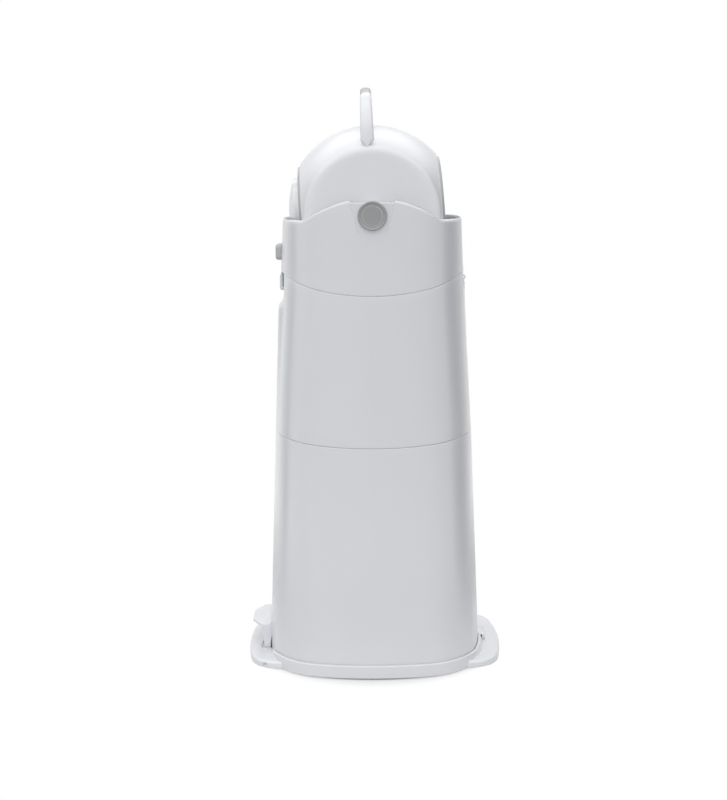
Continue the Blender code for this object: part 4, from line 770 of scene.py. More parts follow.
class NAPPYBIN_OT_base(bpy.types.Operator):
    """Build the base plate with its lobes, kerb, ribs and feet"""

    bl_idname = "nappy_bin.base"
    bl_label = "Base plate"

    def execute(self, context):
        sizes = base()
        seat, low = body().seat_z, sizes.foot_gap
        foot_soft, kerb_soft, skin, bucket_gap = 0.0008, 0.0016, 0.0025, 0.0004
        above, beneath = 0.03, -0.01
        foot = [(foot_soft, low), (0.0, low + foot_soft)]
        plate = raised(lobe_points, foot + quarter_round(sizes.top_round, seat))
        kerb = raised(kerb_points, foot + quarter_round(kerb_soft, sizes.kerb_z))
        mesh = carve(plate, [kerb, kerb_fillet()], "UNION")
        under = seat - skin
        well = outline_points(HALF_WIDTHS[0] + bucket_gap, HALF_DEPTHS[0] + bucket_gap)
        # The kerb opens in front of the tread, with slanting ends.
        sill, sill_half, mouth_half = seat + 0.0002, 0.068, 0.080
        opening = [(-mouth_half, above), (-sill_half, sill), (sill_half, sill), (mouth_half, above)]
        hollows = [
            prism(well, "Z", seat, above),
            prism(lobe_points(skin), "Z", beneath, under),
            prism(kerb_points(skin), "Z", beneath, under),
            prism(opening, "Y", -0.155, -0.105),
        ]
        mesh = carve(mesh, hollows)
        rib, pitch, boss_r, socket_r, socket_top = 0.0020, 0.052, 0.011, 0.0083, 0.0038
        top, below = under + skin / 2, []
        for at in (-pitch, 0, pitch):
            end = sizes.reach - skin / 2 - at**2 / (2 * sizes.end_r)
            below.append(block((at - rib / 2, -end, low), (at + rib / 2, end, top)))
        end = sizes.half_x - skin / 2
        for at in (-2 * pitch, -pitch, pitch, 2 * pitch):
            below.append(block((-end, at - rib / 2, low), (end, at + rib / 2, top)))
        # The foot catch's slot, the pocket of the bucket's rear hook, the pin's hole and the feet's sockets.
        cuts = [
            block((-0.044, -0.1418, beneath), (0.044, -0.1292, above)),
            block((-0.017, 0.132, beneath), (0.017, 0.1402, above)),
            rod("X", -0.12, 0.12, CATCH_PIN_R, HINGES["catch_hinge"]),
        ]
        for x, y in foot_places():
            below.append(rod("Z", low, top, boss_r, (x, y, 0), 48))
            cuts.append(rod("Z", beneath, socket_top, socket_r, (x, y, 0), 48))
        mesh = carve(carve(mesh, below, "UNION"), cuts)
        as_piece("base_moulding", mesh, "white_plastic", ["base_plate"], "bin", 30)
        feet = foot_pattern()
        as_piece("base_feet", feet, "foot_rubber", [f"base_foot_{i}" for i in range(1, 7)], "bin")
        return {"FINISHED"}


def foot_places():
    """The middles of the feet, where the CAD nodes have them."""
    return [middle_of(f"base_foot_{i}")[:2] for i in range(1, 7)]


def new_tree(name, values):
    """An empty geometry tree with named inputs. Returns it, its input node and its output node."""
    tree = bpy.data.node_groups.new(name, "GeometryNodeTree")
    tree.interface.new_socket("Geometry", in_out="INPUT", socket_type="NodeSocketGeometry")
    for label, value in values.items():
        kind = "NodeSocketInt" if isinstance(value, int) else "NodeSocketFloat"
        tree.interface.new_socket(label, in_out="INPUT", socket_type=kind).default_value = value
    tree.interface.new_socket("Geometry", in_out="OUTPUT", socket_type="NodeSocketGeometry")
    return tree, node(tree, "NodeGroupInput").outputs, node(tree, "NodeGroupOutput")


def grown(tree, points, values):
    """Runs a geometry tree on loose points and returns its mesh."""
    mesh = bpy.data.meshes.new("places")
    mesh.from_pydata(points, [], [])
    blank = bpy.data.objects.new("places", mesh)
    bpy.context.scene.collection.objects.link(blank)
    step = blank.modifiers.new("pattern", "NODES")
    step.node_group = tree
    for item in tree.interface.items_tree:
        if item.item_type == "SOCKET" and item.in_out == "INPUT" and item.name in values:
            step[item.identifier] = values[item.name]
    blank.update_tag()
    return applied(blank)


def finish_tree(tree, points, shape, sink, finish):
    """Puts a shape on each point, makes the copies real and gives them their material."""
    placed = node(tree, "GeometryNodeInstanceOnPoints", {"Points": points, "Instance": shape})
    real = node(tree, "GeometryNodeRealizeInstances", {"Geometry": placed.outputs[0]})
    links = {"Geometry": real.outputs[0], "Material": FINISHES[finish]}
    painted = node(tree, "GeometryNodeSetMaterial", links)
    tree.links.new(painted.outputs[0], sink.inputs[0])


def cylinder(tree, steps, radius, depth):
    links = {"Vertices": steps, "Radius": radius, "Depth": depth}
    return node(tree, "GeometryNodeMeshCylinder", links).outputs["Mesh"]


def lifted(tree, shape, height):
    up = node(tree, "ShaderNodeCombineXYZ", {"Z": height}).outputs[0]
    return node(tree, "GeometryNodeTransform", {"Geometry": shape, "Translation": up}).outputs[0]


def cut_away(tree, shape, tool):
    links = {"Mesh 1": shape, "Mesh 2": tool}
    settings = {"operation": "DIFFERENCE", "solver": "EXACT"}
    return node(tree, "GeometryNodeMeshBoolean", links, **settings).outputs[0]


def foot_pattern():
    """A round rubber foot on each place, with a shallow ring in its face."""
    values = {"Radius": 0.008, "Height": 0.0035}
    dish_r, dish_h = 0.005, 0.0012
    tree, source, sink = new_tree("foot_pattern", values)
    foot = cylinder(tree, 48, source["Radius"], source["Height"])
    dish = lifted(tree, cylinder(tree, 48, dish_r, dish_h), times(tree, source["Height"], -0.5))
    finish_tree(tree, source["Geometry"], cut_away(tree, foot, dish), sink, "foot_rubber")
    return grown(tree, [(x, y, values["Height"] / 2) for x, y in foot_places()], values)


class NAPPYBIN_OT_catch(bpy.types.Operator):
    """Build the foot catch at the front of the base"""

    bl_idname = "nappy_bin.catch"
    bl_label = "Foot catch"

    def execute(self, context):
        sizes = base()
        pin = HINGES["catch_hinge"]
        top, low = sizes.tread_z, sizes.tread_z - sizes.tread_t
        half_x, half_y = half_sizes(top)
        wall_gap, soft = 0.0006, 0.0004
        wall_y = float(half_y) + wall_gap
        leg_x, leg_in, leg_top, eye_r = 0.042, 0.038, 0.0385, 0.0042
        u, v = OUTLINE
        front = v < -np.abs(u)
        order = np.argsort(u[front])
        along = np.linspace(-leg_x, leg_x, 25)
        rear = np.interp(along / half_x, u[front][order], v[front][order]) * half_y - wall_gap
        corner_y, nose_y, nose_x = -0.142, -0.1537, 0.019
        outline = [(leg_x, corner_y), (nose_x, nose_y), (-nose_x, nose_y), (-leg_x, corner_y)]
        outline += list(zip(along, rear))
        outline = rounded(outline, (0.005, 0.007, 0.007, 0.005) + (0,) * len(along), 8, closed=True)
        tread = prism(outline, "Z", low, top, 0.0006)
        # The tongue that reaches into the bucket's slot, the legs with their eyes, and the web between them.
        parts = [block((-0.032, -wall_y - 0.003, low), (0.032, -0.1287, top), soft)]
        leg = [(-0.1425, leg_top), (-0.1374, pin[2]), (-0.1306, pin[2])]
        leg += [(-0.1302, 0.018), (-0.1276, 0.031), (-0.1276, leg_top)]
        for side in (-1, 1):
            x0, x1 = span(side, leg_x, leg_in)
            parts.append(prism(leg, "X", x0, x1, 0.0005))
            parts.append(rod("X", x0, x1, eye_r, pin, 40))
        parts.append(block((-0.040, -0.1352, 0.013), (0.040, -0.1328, leg_top), soft))
        mesh = carve(carve(tread, parts, "UNION"), [rod("X", -0.06, 0.06, CATCH_PIN_R, pin)])
        as_piece("foot_catch_moulding", mesh, "white_plastic", ["foot_catch"], "catch", 30)
        return {"FINISHED"}


class NAPPYBIN_OT_bucket(bpy.types.Operator):
    """Build the lower bucket"""

    bl_idname = "nappy_bin.bucket"
    bl_label = "Lower bucket"

    def execute(self, context):
        slot = block((-0.0329, -0.145, 0.0361), (0.0329, -0.122, 0.0409), 0.0008)
        root_y, tip_y, inner_y, foot_z, neck_z, top_z = 0.1306, 0.1392, 0.1366, 0.0055, 0.0162, 0.0176
        hook = [(root_y, neck_z), (root_y, top_z), (tip_y, top_z)]
        hook += [(tip_y, foot_z), (inner_y, foot_z), (inner_y, neck_z)]
        hook = rounded(hook, (0, 0, 0.0016, 0.0006, 0.0006, 0.0008), 5, closed=True)
        hook_half, soft = 0.016, 0.0004
        mesh = carve(bucket_shape(), [slot])
        mesh = carve(mesh, [prism(hook, "X", -hook_half, hook_half, soft)], "UNION")
        as_piece("bucket_moulding", mesh, "white_plastic", ["lower_bucket"], "bin", 30)
        return {"FINISHED"}


def bracket_y():
    """Where the hinge bracket's plate starts, let into the rear wall."""
    sunk = 0.0011
    return float(half_sizes(BRACKET_Z)[1]) - sunk


def bracket_holes():
    """Cutters for the bracket's two screws."""
    x, _, z = middle_of("bracket_screw_2")
    y = HINGES["head_hinge"][1]
    return [rod("Y", -0.01, 0.01, SCREW_HOLE_R, (side * abs(x), y, z)) for side in (-1, 1)]


def knuckle(number):
    """One of the hinge's five knuckles; the middle one is number 0. Returns its two ends and its solid."""
    pitch, gap, radius, soft = 0.010, 0.0002, 0.0025, 0.0003
    x0, x1 = (number - 0.5) * pitch + gap, (number + 0.5) * pitch - gap
    profile = [(x0, radius - soft), (x0 + soft, radius), (x1 - soft, radius), (x1, radius - soft)]
    return x0, x1, turned(profile, "X", 40, centre=HINGES["head_hinge"])


class NAPPYBIN_OT_middle(bpy.types.Operator):
    """Build the middle section, with its front panel, its recess and the ledge for the bag ring"""

    bl_idname = "nappy_bin.middle"
    bl_label = "Middle section"

    def execute(self, context):
        plate_gap, rear, soft = 0.0003, 0.1197, 0.0005
        # The nib's slot, room for the latch and its tongue, and room for the hinge's knuckles and plate.
        tools = [
            block((-0.012, -0.118, 0.4541), (0.012, -0.0964, 0.4624), soft),
            block((-0.0215, -0.120, 0.4817), (0.0215, -0.0997, 0.487)),
            block((-0.0122, -0.120, 0.4776), (0.0122, -0.0997, 0.486)),
            block((-0.0263, 0.1007, 0.4678), (0.0263, rear, 0.487), soft),
            block((-0.0253, bracket_y() - plate_gap, BRACKET_Z - plate_gap), (0.0253, rear, 0.4682)),
        ]
        mesh = carve(middle_shape(), tools + bracket_holes())
        as_piece("middle_moulding", mesh, "white_plastic", ["middle_section"], "bin", 30)
        return {"FINISHED"}


class NAPPYBIN_OT_bag_ring(bpy.types.Operator):
    """Build the ring that holds the bag's mouth"""

    bl_idname = "nappy_bin.bag_ring"
    bl_label = "Bag ring"

    def execute(self, context):
        low, thick, skirt_h, skirt_t = 0.4313, 0.003, 0.026, 0.002
        outer, inner = 0.0034, 0.0174
        points = [(outer, low), (outer, low + thick), (inner, low + thick), (inner, low - skirt_h)]
        points += [(inner - skirt_t, low - skirt_h), (inner - skirt_t, low)]
        line = rounded(points, (0.0004, 0.001, 0.0024, 0.0008, 0.0008, 0.0006), 5, closed=True)
        ring = loft([body_ring(i, level(z), level(z), 0) for i, z in line], closed=True)
        as_piece("bag_ring_moulding", ring, "liner_plastic", ["bag_ring"], "bin", 30)
        return {"FINISHED"}


class NAPPYBIN_OT_head(bpy.types.Operator):
    """Build the head, with its arched sides, keeper slots, button window and hinge knuckles"""

    bl_idname = "nappy_bin.head"
    bl_label = "Head"

    def execute(self, context):
        hinge = HINGES["head_hinge"]
        root_near, root_far, root_top, web_half, web_z = 0.1082, 0.1102, 0.486, 0.0248, 0.4753
        boss_r, boss_low, boss_high = 0.0046, 0.496, 0.5245
        additions = []
        for side in (-1, 1):
            x0, x1 = span(side, 0.0178, 0.0208)
            additions.append(block((x0, -0.1103, 0.484), (x1, -0.0995, 0.492), 0.0005))
        for number in (-2, 0, 2):
            x0, x1, barrel = knuckle(number)
            additions += [block((x0, root_near, hinge[2]), (x1, root_far, root_top)), barrel]
        additions.append(block((-web_half, root_near, web_z), (web_half, root_far, root_top)))
        for x, y in cradle_places():
            additions.append(rod("Z", boss_low, boss_high, boss_r, (x, y, 0), 40))
        head = carve(head_shape(), additions, "UNION")
        fit, slot_top = 0.00005, 0.576
        foot = KEEPER_FOOT[0]
        foot_half, top_half = keeper_half(foot, fit), keeper_half(slot_top, fit)
        wedge = [(-foot_half, foot), (foot_half, foot), (top_half, slot_top), (-top_half, slot_top)]
        tools = [prism(wedge, "X", *span(side, 0.1062, 0.1255)) for side in (-1, 1)]
        # The button's window, the tongue's slot, the holes for both pins and those for the cradle's screws.
        tools.append(block((-0.0177, -0.1225, 0.4919), (0.0177, -0.1019, 0.5144), 0.0016, 4))
        tools.append(block((-0.012, -0.1175, 0.467), (0.012, -0.1019, 0.4858), 0.0008))
        tools.append(rod("X", -0.042, 0.042, LATCH_PIN_R, HINGES["latch_rocker"]))
        tools.append(rod("X", -0.05, 0.05, HINGE_PIN_R, hinge))
        for x, y in cradle_places():
            tools.append(rod("Z", 0.5105, 0.535, 0.0018, (x, y, 0)))
        as_piece("head_moulding", carve(head, tools), "white_plastic", ["head_housing"], "head", 30)
        return {"FINISHED"}


def cradle_places():
    """The four screws that hold the cradle, where the CAD nodes have them."""
    return [middle_of(f"cradle_screw_{i}")[:2] for i in range(1, 5)]


def keeper_shape(side):
    """A wedge that follows the side wall, a little proud of it, with rounded edges."""
    height, thick, side_soft, top_soft = 0.0368, 0.0033, 0.0004, 0.0013
    proud_foot, proud_more = -0.0001, 0.0009
    close_shares = [sign * share for sign in (-1, 1) for share in (0.97, 0.985, 0.995)]
    across_shares = np.array(sorted({*np.linspace(-1, 1, 41), *close_shares}))
    up_shares = sorted({*np.linspace(0, 1, 25), 0.008, 0.02, 0.975, 0.985, 0.995})
    shape = bmesh.new()
    outer, inner = [], []
    for t in up_shares:
        z = KEEPER_FOOT[0] + t * height
        half = keeper_half(z)
        y = across_shares * half
        drop = 0
        for near, soft in ((half - np.abs(y), side_soft), ((1 - t) * height, top_soft)):
            inside = np.sqrt(np.maximum(soft**2 - np.maximum(soft - near, 0) ** 2, 0))
            drop = np.maximum(drop, soft - inside)
        wall = wall_x(y, z)
        for rows, x in ((outer, wall + (proud_more * t + proud_foot) - drop), (inner, wall - thick)):
            points = np.stack((side * x, y, np.full_like(y, z)), 1)
            rows.append([shape.verts.new(point) for point in points])
    last, end = len(up_shares) - 1, len(across_shares) - 1
    for i in range(last):
        for j in range(end):
            shape.faces.new((outer[i][j], outer[i][j + 1], outer[i + 1][j + 1], outer[i + 1][j]))
            shape.faces.new((inner[i][j], inner[i + 1][j], inner[i + 1][j + 1], inner[i][j + 1]))
        for j in (0, end):
            shape.faces.new((outer[i][j], outer[i + 1][j], inner[i + 1][j], inner[i][j]))
    for i in (0, last):
        for j in range(end):
            shape.faces.new((outer[i][j], inner[i][j], inner[i][j + 1], outer[i][j + 1]))
    bmesh.ops.recalc_face_normals(shape, faces=shape.faces)
    return shape


class NAPPYBIN_OT_keepers(bpy.types.Operator):
    """Build the wedge-shaped keeper over each end of the drum's axle"""

    bl_idname = "nappy_bin.keepers"
    bl_label = "Side keepers"

    def execute(self, context):
        pivot = (0, 0, drum().pivot_z)
        for side, name in ((1, "left"), (-1, "right")):
            boss = rod("X", side * 0.0965, side * 0.1126, 0.015, pivot, 64)
            hole = rod("X", side * 0.09, side * 0.1103, 0.010, pivot, 64)
            mesh = carve(carve(keeper_shape(side), [boss], "UNION"), [hole])
            as_piece(f"keeper_{name}", mesh, "white_plastic", [f"side_keeper_{name}"], "head", 30)
        return {"FINISHED"}


def bead_pattern(count, ring_r, bead_r):
    """A ring of small beads about Z, for the badge's face."""
    values = {"Beads": count, "Ring radius": ring_r, "Bead radius": bead_r}
    tree, source, sink = new_tree("bead_ring", values)
    links = {"Vertices": source["Beads"], "Radius": source["Ring radius"]}
    circle = node(tree, "GeometryNodeMeshCircle", links).outputs["Mesh"]
    links = {"Radius": source["Bead radius"], "Subdivisions": 2}
    bead = node(tree, "GeometryNodeMeshIcoSphere", links).outputs["Mesh"]
    finish_tree(tree, circle, bead, sink, "grey_plastic")
    return grown(tree, [(0, 0, 0)], values)


class NAPPYBIN_OT_badges(bpy.types.Operator):
    """Build the round cap on each keeper, with a dished border and a ring of beads"""

    bl_idname = "nappy_bin.badges"
    bl_label = "Pivot badges"

    def execute(self, context):
        pivot = drum().pivot_z
        smaller, hub_r, lip, dish, dish_in = 0.0007, 0.002, 0.0013, 0.0013, 0.0036
        bead_in, bead_r = 0.0052, 0.00042
        for side, name in ((1, "left"), (-1, "right")):
            low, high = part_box(f"pivot_badge_{name}")
            start, end = sorted((abs(low[0]), abs(high[0])))
            radius = (high[2] - low[2]) / 2 - smaller
            points = [(start, hub_r), (start, radius), (end, radius), (end, radius - lip)]
            points += [(end - dish, radius - dish_in), (end - dish, hub_r)]
            line = rounded(points, (0, 0.0003, 0.0010, 0.0005, 0.0006, 0), 6)
            shape = turned([(side * a, r) for a, r in line], "X", 96, centre=(0, 0, pivot))
            as_piece(f"badge_{name}", shape, "grey_plastic", [f"pivot_badge_{name}"], "head", 40)
            beads = bead_pattern(48, radius - bead_in, bead_r)
            place = Matrix.Translation((side * (end - dish), 0, pivot))
            beads.transform(place @ Matrix.Rotation(math.pi / 2, 4, "Y"))
            as_piece(f"badge_beads_{name}", beads, "grey_plastic", (), "head", 60, "pale_grey")
        return {"FINISHED"}


class NAPPYBIN_OT_latch(bpy.types.Operator):
    """Build the release button and the latch lever with its tongue"""

    bl_idname = "nappy_bin.latch"
    bl_label = "Latch"

    def execute(self, context):
        half, corner, front, rear, soft = 0.0165, 0.005, -0.1181, -0.1062, 0.0030
        outline = rounded(rectangle(-half, half, 0.4931, 0.5123), (corner,) * 4, 8, closed=True)
        button = prism(outline, "Y", front, rear, soft, 6)
        as_piece("button_cap", button, "grey_plastic", ["release_button"], "latch", 30, "mid_grey")
        # The lever in profile, as (y, z): down its front to the tongue and the nib, and up its rear.
        line = [(-0.1059, 0.503), (-0.1059, 0.48488), (-0.10862, 0.483), (-0.1108, 0.482)]
        line += [(-0.1114, 0.4785), (-0.1134, 0.4735), (-0.1136, 0.4580), (-0.1124, 0.4562)]
        line += [(-0.110, 0.4558), (-0.1064, 0.4568), (-0.1064, 0.460), (-0.110, 0.4612)]
        line += [(-0.110, 0.4782), (-0.1059, 0.4794), (-0.10128, 0.4835), (-0.0999, 0.488)]
        line += [(-0.10121, 0.4925), (-0.1019, 0.503)]
        lever_half, lever_soft = 0.011, 0.0004
        lever = prism(line, "X", -lever_half, lever_half, lever_soft)
        mesh = carve(lever, [rod("X", -0.02, 0.02, LATCH_PIN_R, HINGES["latch_rocker"])])
        as_piece("lever_moulding", mesh, "grey_plastic", ["latch_lever"], "latch", 30, "pale_grey")
        return {"FINISHED"}


def screw_pattern(points, head_r, head_h, shank_r, shank_l):
    """A pan-headed screw with a cross recess at each point, its head up along Z."""
    values = {"Head radius": head_r, "Head height": head_h, "Shank radius": shank_r, "Shank length": shank_l}
    tree, source, sink = new_tree("screw_pattern", values)
    radius, height, shank_length = source["Head radius"], source["Head height"], source["Shank length"]
    head = lifted(tree, cylinder(tree, 40, radius, height), times(tree, height, 0.5))
    arm, slit = times(tree, radius, 1.2), times(tree, radius, 0.22)
    cutters = node(tree, "GeometryNodeJoinGeometry")
    for x, y in ((arm, slit), (slit, arm)):
        size = node(tree, "ShaderNodeCombineXYZ", {"X": x, "Y": y, "Z": height}).outputs[0]
        cube = node(tree, "GeometryNodeMeshCube", {"Size": size}).outputs["Mesh"]
        tree.links.new(lifted(tree, cube, height), cutters.inputs[0])
    shank = cylinder(tree, 24, source["Shank radius"], shank_length)
    whole = node(tree, "GeometryNodeJoinGeometry")
    tree.links.new(cut_away(tree, head, cutters.outputs[0]), whole.inputs[0])
    tree.links.new(lifted(tree, shank, times(tree, shank_length, -0.5)), whole.inputs[0])
    finish_tree(tree, source["Geometry"], whole.outputs[0], sink, "steel")
    return grown(tree, points, values)


class NAPPYBIN_OT_screws(bpy.types.Operator):
    """Build the screws of the cradle and of the hinge bracket"""

    bl_idname = "nappy_bin.screws"
    bl_label = "Screws"

    def execute(self, context):
        head_seat = 0.5275
        places = [(x, y, head_seat) for x, y in cradle_places()]
        mesh = screw_pattern(places, 0.0028, 0.002, 0.0015, 0.014)
        as_piece("cradle_screws", mesh, "steel", [f"cradle_screw_{i}" for i in range(1, 5)], "head")
        x, _, z = middle_of("bracket_screw_2")
        mesh = screw_pattern([(-abs(x), 0, 0), (abs(x), 0, 0)], 0.0026, 0.0011, 0.0012, 0.0062)
        place = Matrix.Translation((0, bracket_y() + BRACKET_T, z))
        mesh.transform(place @ Matrix.Rotation(-math.pi / 2, 4, "X"))
        as_piece("bracket_screws", mesh, "steel", ["bracket_screw_1", "bracket_screw_2"], "bin")
        return {"FINISHED"}


class NAPPYBIN_OT_hinge(bpy.types.Operator):
    """Build the rear hinge's bracket"""

    bl_idname = "nappy_bin.hinge"
    bl_label = "Hinge bracket"

    def execute(self, context):
        front, rear = bracket_y(), bracket_y() + BRACKET_T
        half, top, soft, root_z = 0.025, 0.4665, 0.0004, 0.4647
        plate = rectangle(-half, half, BRACKET_Z, top)
        plate = rounded(plate, (0.002, 0.002, 0.0008, 0.0008), 5, closed=True)
        additions = []
        for number in (-1, 1):
            x0, x1, barrel = knuckle(number)
            additions += [block((x0, front, root_z), (x1, rear, HINGES["head_hinge"][2])), barrel]
        mesh = carve(prism(plate, "Y", front, rear, soft), additions, "UNION")
        pin = rod("X", -0.05, 0.05, HINGE_PIN_R, HINGES["head_hinge"])
        mesh = carve(mesh, [pin] + bracket_holes())
        as_piece("hinge_plate", mesh, "white_plastic", ["hinge_bracket"], "bin", 30)
        return {"FINISHED"}


# The drum, made level about its own pivot and then tilted into place


def into_place(shape):
    """Tilts a bmesh or a mesh made about the drum's own pivot and lifts it there."""
    sizes = drum()
    shape.transform(Matrix.Translation((0, 0, sizes.pivot_z)) @ Matrix.Rotation(sizes.tilt, 4, "X"))
    return shape


def barrel_radius(x):
    sizes = drum()
    return sizes.radius * np.sqrt(1 - (np.asarray(x) / sizes.ellipse) ** 2)


def barrel_profile(grow=0.0):
    """Half of the barrel's profile, as (place, radius), from its middle to its end face."""
    sizes = drum()
    coarse, fine, fine_from, clear = 0.003, 0.0015, 0.066, 0.001
    places = (np.arange(0, fine_from, coarse), np.arange(fine_from, sizes.shoulder_x - clear, fine))
    flat = [(x, float(barrel_radius(x))) for x in np.concatenate(places)]
    x0, r0 = sizes.shoulder_x, float(barrel_radius(sizes.shoulder_x))
    slope = -sizes.radius**2 * x0 / (sizes.ellipse**2 * r0)
    start, end = Vector((x0, r0)), Vector((sizes.face_x, sizes.face_r))
    lean, hold = Vector((1, slope)) * 0.0040, Vector((0, 1)) * 0.0055
    curve = []
    for i in range(17):
        t = i / 16
        a, b, c, d = (1 - t) ** 3, 3 * t * (1 - t) ** 2, 3 * t * t * (1 - t), t**3
        point = start * a + (start + lean) * b + (end + hold) * c + end * d
        curve.append((point.x, point.y))
    half = flat + curve + [(sizes.face_x, sizes.face_r - inside) for inside in (0.002, 0.006)]
    if not grow:
        return half
    points = np.array(half)
    along = np.gradient(points, axis=0)
    normal = np.stack((-along[:, 1], along[:, 0]), 1)
    normal /= np.linalg.norm(normal, axis=1)[:, None]
    normal[0] = (0, 1)
    points = points + normal * grow
    points[-3:, 0] = sizes.face_x + grow
    return [tuple(p) for p in points]


def mirrored(half):
    """The whole profile of the barrel, from its half."""
    return [(-x, r) for x, r in reversed(half[1:])] + half


def barrel_shape(grow=0.0, steps=160):
    return turned(mirrored(barrel_profile(grow)), "X", steps)


def drum_ring(x, radius, end_y, soft):
    """A ring of the casing: a circle, cut flat at both chamber ends where it reaches past them."""
    least = math.radians(7)
    corner = max(math.acos(min(1, end_y / radius)) if radius > end_y else 0, least)
    flat = corner * np.sin(np.linspace(0, math.pi / 2, 15))
    curve = corner + (math.pi / 2 - corner) * (1 - np.cos(np.linspace(0, math.pi / 2, 44)[1:]))
    quarter = np.concatenate((flat, curve))
    line = end_y / np.maximum(np.cos(quarter), 1e-6)
    h = np.clip(0.5 + 0.5 * (line - radius) / soft, 0, 1)
    reach = line * (1 - h) + radius * h - soft * h * (1 - h)
    y, z = reach * np.cos(quarter), reach * np.sin(quarter)
    y[-1] = 0
    right = list(zip(y, z))
    upper = right + [(-a, b) for a, b in reversed(right[:-1])]
    lower = [(a, -b) for a, b in reversed(upper[1:-1])]
    return [(x, a, b) for a, b in upper + lower]


class NAPPYBIN_OT_casing(bpy.types.Operator):
    """Build the drum's casing"""

    bl_idname = "nappy_bin.casing"
    bl_label = "Drum casing"

    def execute(self, context):
        sizes = drum()
        tube_gap, axle_r = 0.0033, 0.0063
        rings = [drum_ring(x, r, sizes.end_y, sizes.end_round) for x, r in mirrored(barrel_profile())]
        tools = [rod("Y", -0.1, 0.1, sizes.bore_r + tube_gap, steps=128)]
        tools += [rod("X", side * 0.086, side * 0.105, axle_r, steps=48) for side in (-1, 1)]
        mesh = into_place(carve(loft(rings), tools))
        # The casing takes the drum's lighter white, which is painted light.
        as_piece("casing_moulding", mesh, "white_plastic", ["drum_casing"], "drum", 30, "drum_white_painted_lighter")
        return {"FINISHED"}


class NAPPYBIN_OT_chamber(bpy.types.Operator):
    """Build the chamber's tube and the oval rim at each of its ends"""

    bl_idname = "nappy_bin.chamber"
    bl_label = "Chamber"

    def execute(self, context):
        sizes = drum()
        bore, wall, half, gap = sizes.bore_r, TUBE_WALL, TUBE_HALF, 0.0003
        profile = [(-half, bore), (half, bore), (half, bore + wall), (-half, bore + wall)]
        tube = into_place(turned(profile, "Y", 128, closed=True))
        as_piece("tube_moulding", tube, "liner_plastic", ["chamber_tube"], "drum", 30)
        neck, neck_out, seat = sizes.neck_r, bore + wall - gap, sizes.end_y + gap
        top, outer_soft, mouth_soft = seat + sizes.rim_t, 0.0012, 0.0016
        # The rim's profile as (half width, half height, distance from the middle): out of the tube,
        # under the oval plate, round its edge, over its face and into the mouth.
        profile = [(neck, neck, half + gap), (neck_out, neck_out, half + gap), (neck_out, neck_out, seat)]
        profile.append((sizes.rim_x, sizes.rim_z, seat))
        quarter = np.linspace(0, math.pi / 2, 7)
        for a in quarter:
            drop = outer_soft * (1 - math.cos(a))
            profile.append((sizes.rim_x - drop, sizes.rim_z - drop, top - outer_soft * (1 - math.sin(a))))
        for share in (0.25, 0.5, 0.75):
            across, up = ((neck - edge) * share for edge in (sizes.rim_x, sizes.rim_z))
            profile.append((sizes.rim_x + across, sizes.rim_z + up, top))
        for a in quarter:
            wide = neck + mouth_soft * (1 - math.sin(a))
            profile.append((wide, wide, top - mouth_soft * (1 - math.cos(a))))
        steps = 160
        angles = np.arange(steps) * math.tau / steps
        for side, name in ((-1, "front"), (1, "rear")):
            rings = []
            for half_x, half_z, y in profile:
                columns = (half_x * np.cos(angles), np.full(steps, side * y), half_z * np.sin(angles))
                rings.append(np.stack(columns, 1))
            shape = into_place(loft(rings, closed=True))
            as_piece(f"end_rim_{name}", shape, "rim_plastic", [f"chamber_rim_{name}"], "drum", 30)
        return {"FINISHED"}


class NAPPYBIN_OT_handle(bpy.types.Operator):
    """Build the handle, an arch that widens to its feet on the drum's shoulders"""

    bl_idname = "nappy_bin.handle"
    bl_label = "Handle"

    def execute(self, context):
        sizes = drum()
        steps, section, lower, least_share, fit = 120, 36, 0.0016, 0.15, 0.0001
        arch_power, section_power = 2 / 2.6, 0.8
        crown = sizes.handle_r - sizes.handle_t / 2 - sizes.handle_z - lower
        angles = math.pi * (1 - np.cos(np.linspace(0, math.pi, steps + 1))) / 2
        cos, sin = np.cos(angles), np.sin(angles)
        xs = sizes.handle_span * np.sign(cos) * np.abs(cos) ** arch_power
        zs = sizes.handle_z + crown * np.abs(sin) ** arch_power
        centres = np.stack((xs, zs), 1)
        along = np.gradient(centres, axis=0)
        along /= np.linalg.norm(along, axis=1)[:, None]
        out = np.stack((along[:, 1], -along[:, 0]), 1)
        around = np.arange(section) * math.tau / section
        a, b = (np.sign(wave) * np.abs(wave) ** section_power for wave in (np.cos(around), np.sin(around)))
        half_t = sizes.handle_t / 2
        rings = []
        for (x, z), (ox, oz) in zip(centres, out):
            down = 1 - (z - sizes.handle_z) / crown
            half_w = sizes.handle_top + (sizes.handle_foot - sizes.handle_top) * down
            half_w *= np.clip((z - sizes.foot_tip) / sizes.foot_taper, least_share, 1)
            lean = sizes.handle_lean * (1 - down)
            rings.append(np.stack((x + ox * a * half_t, b * half_w + lean, z + oz * a * half_t), 1))
        mesh = into_place(carve(loft(rings), [barrel_shape(fit)]))
        as_piece("handle_moulding", mesh, "white_plastic", ["handle"], "drum", 35, "handle_white_painted_lighter")
        return {"FINISHED"}


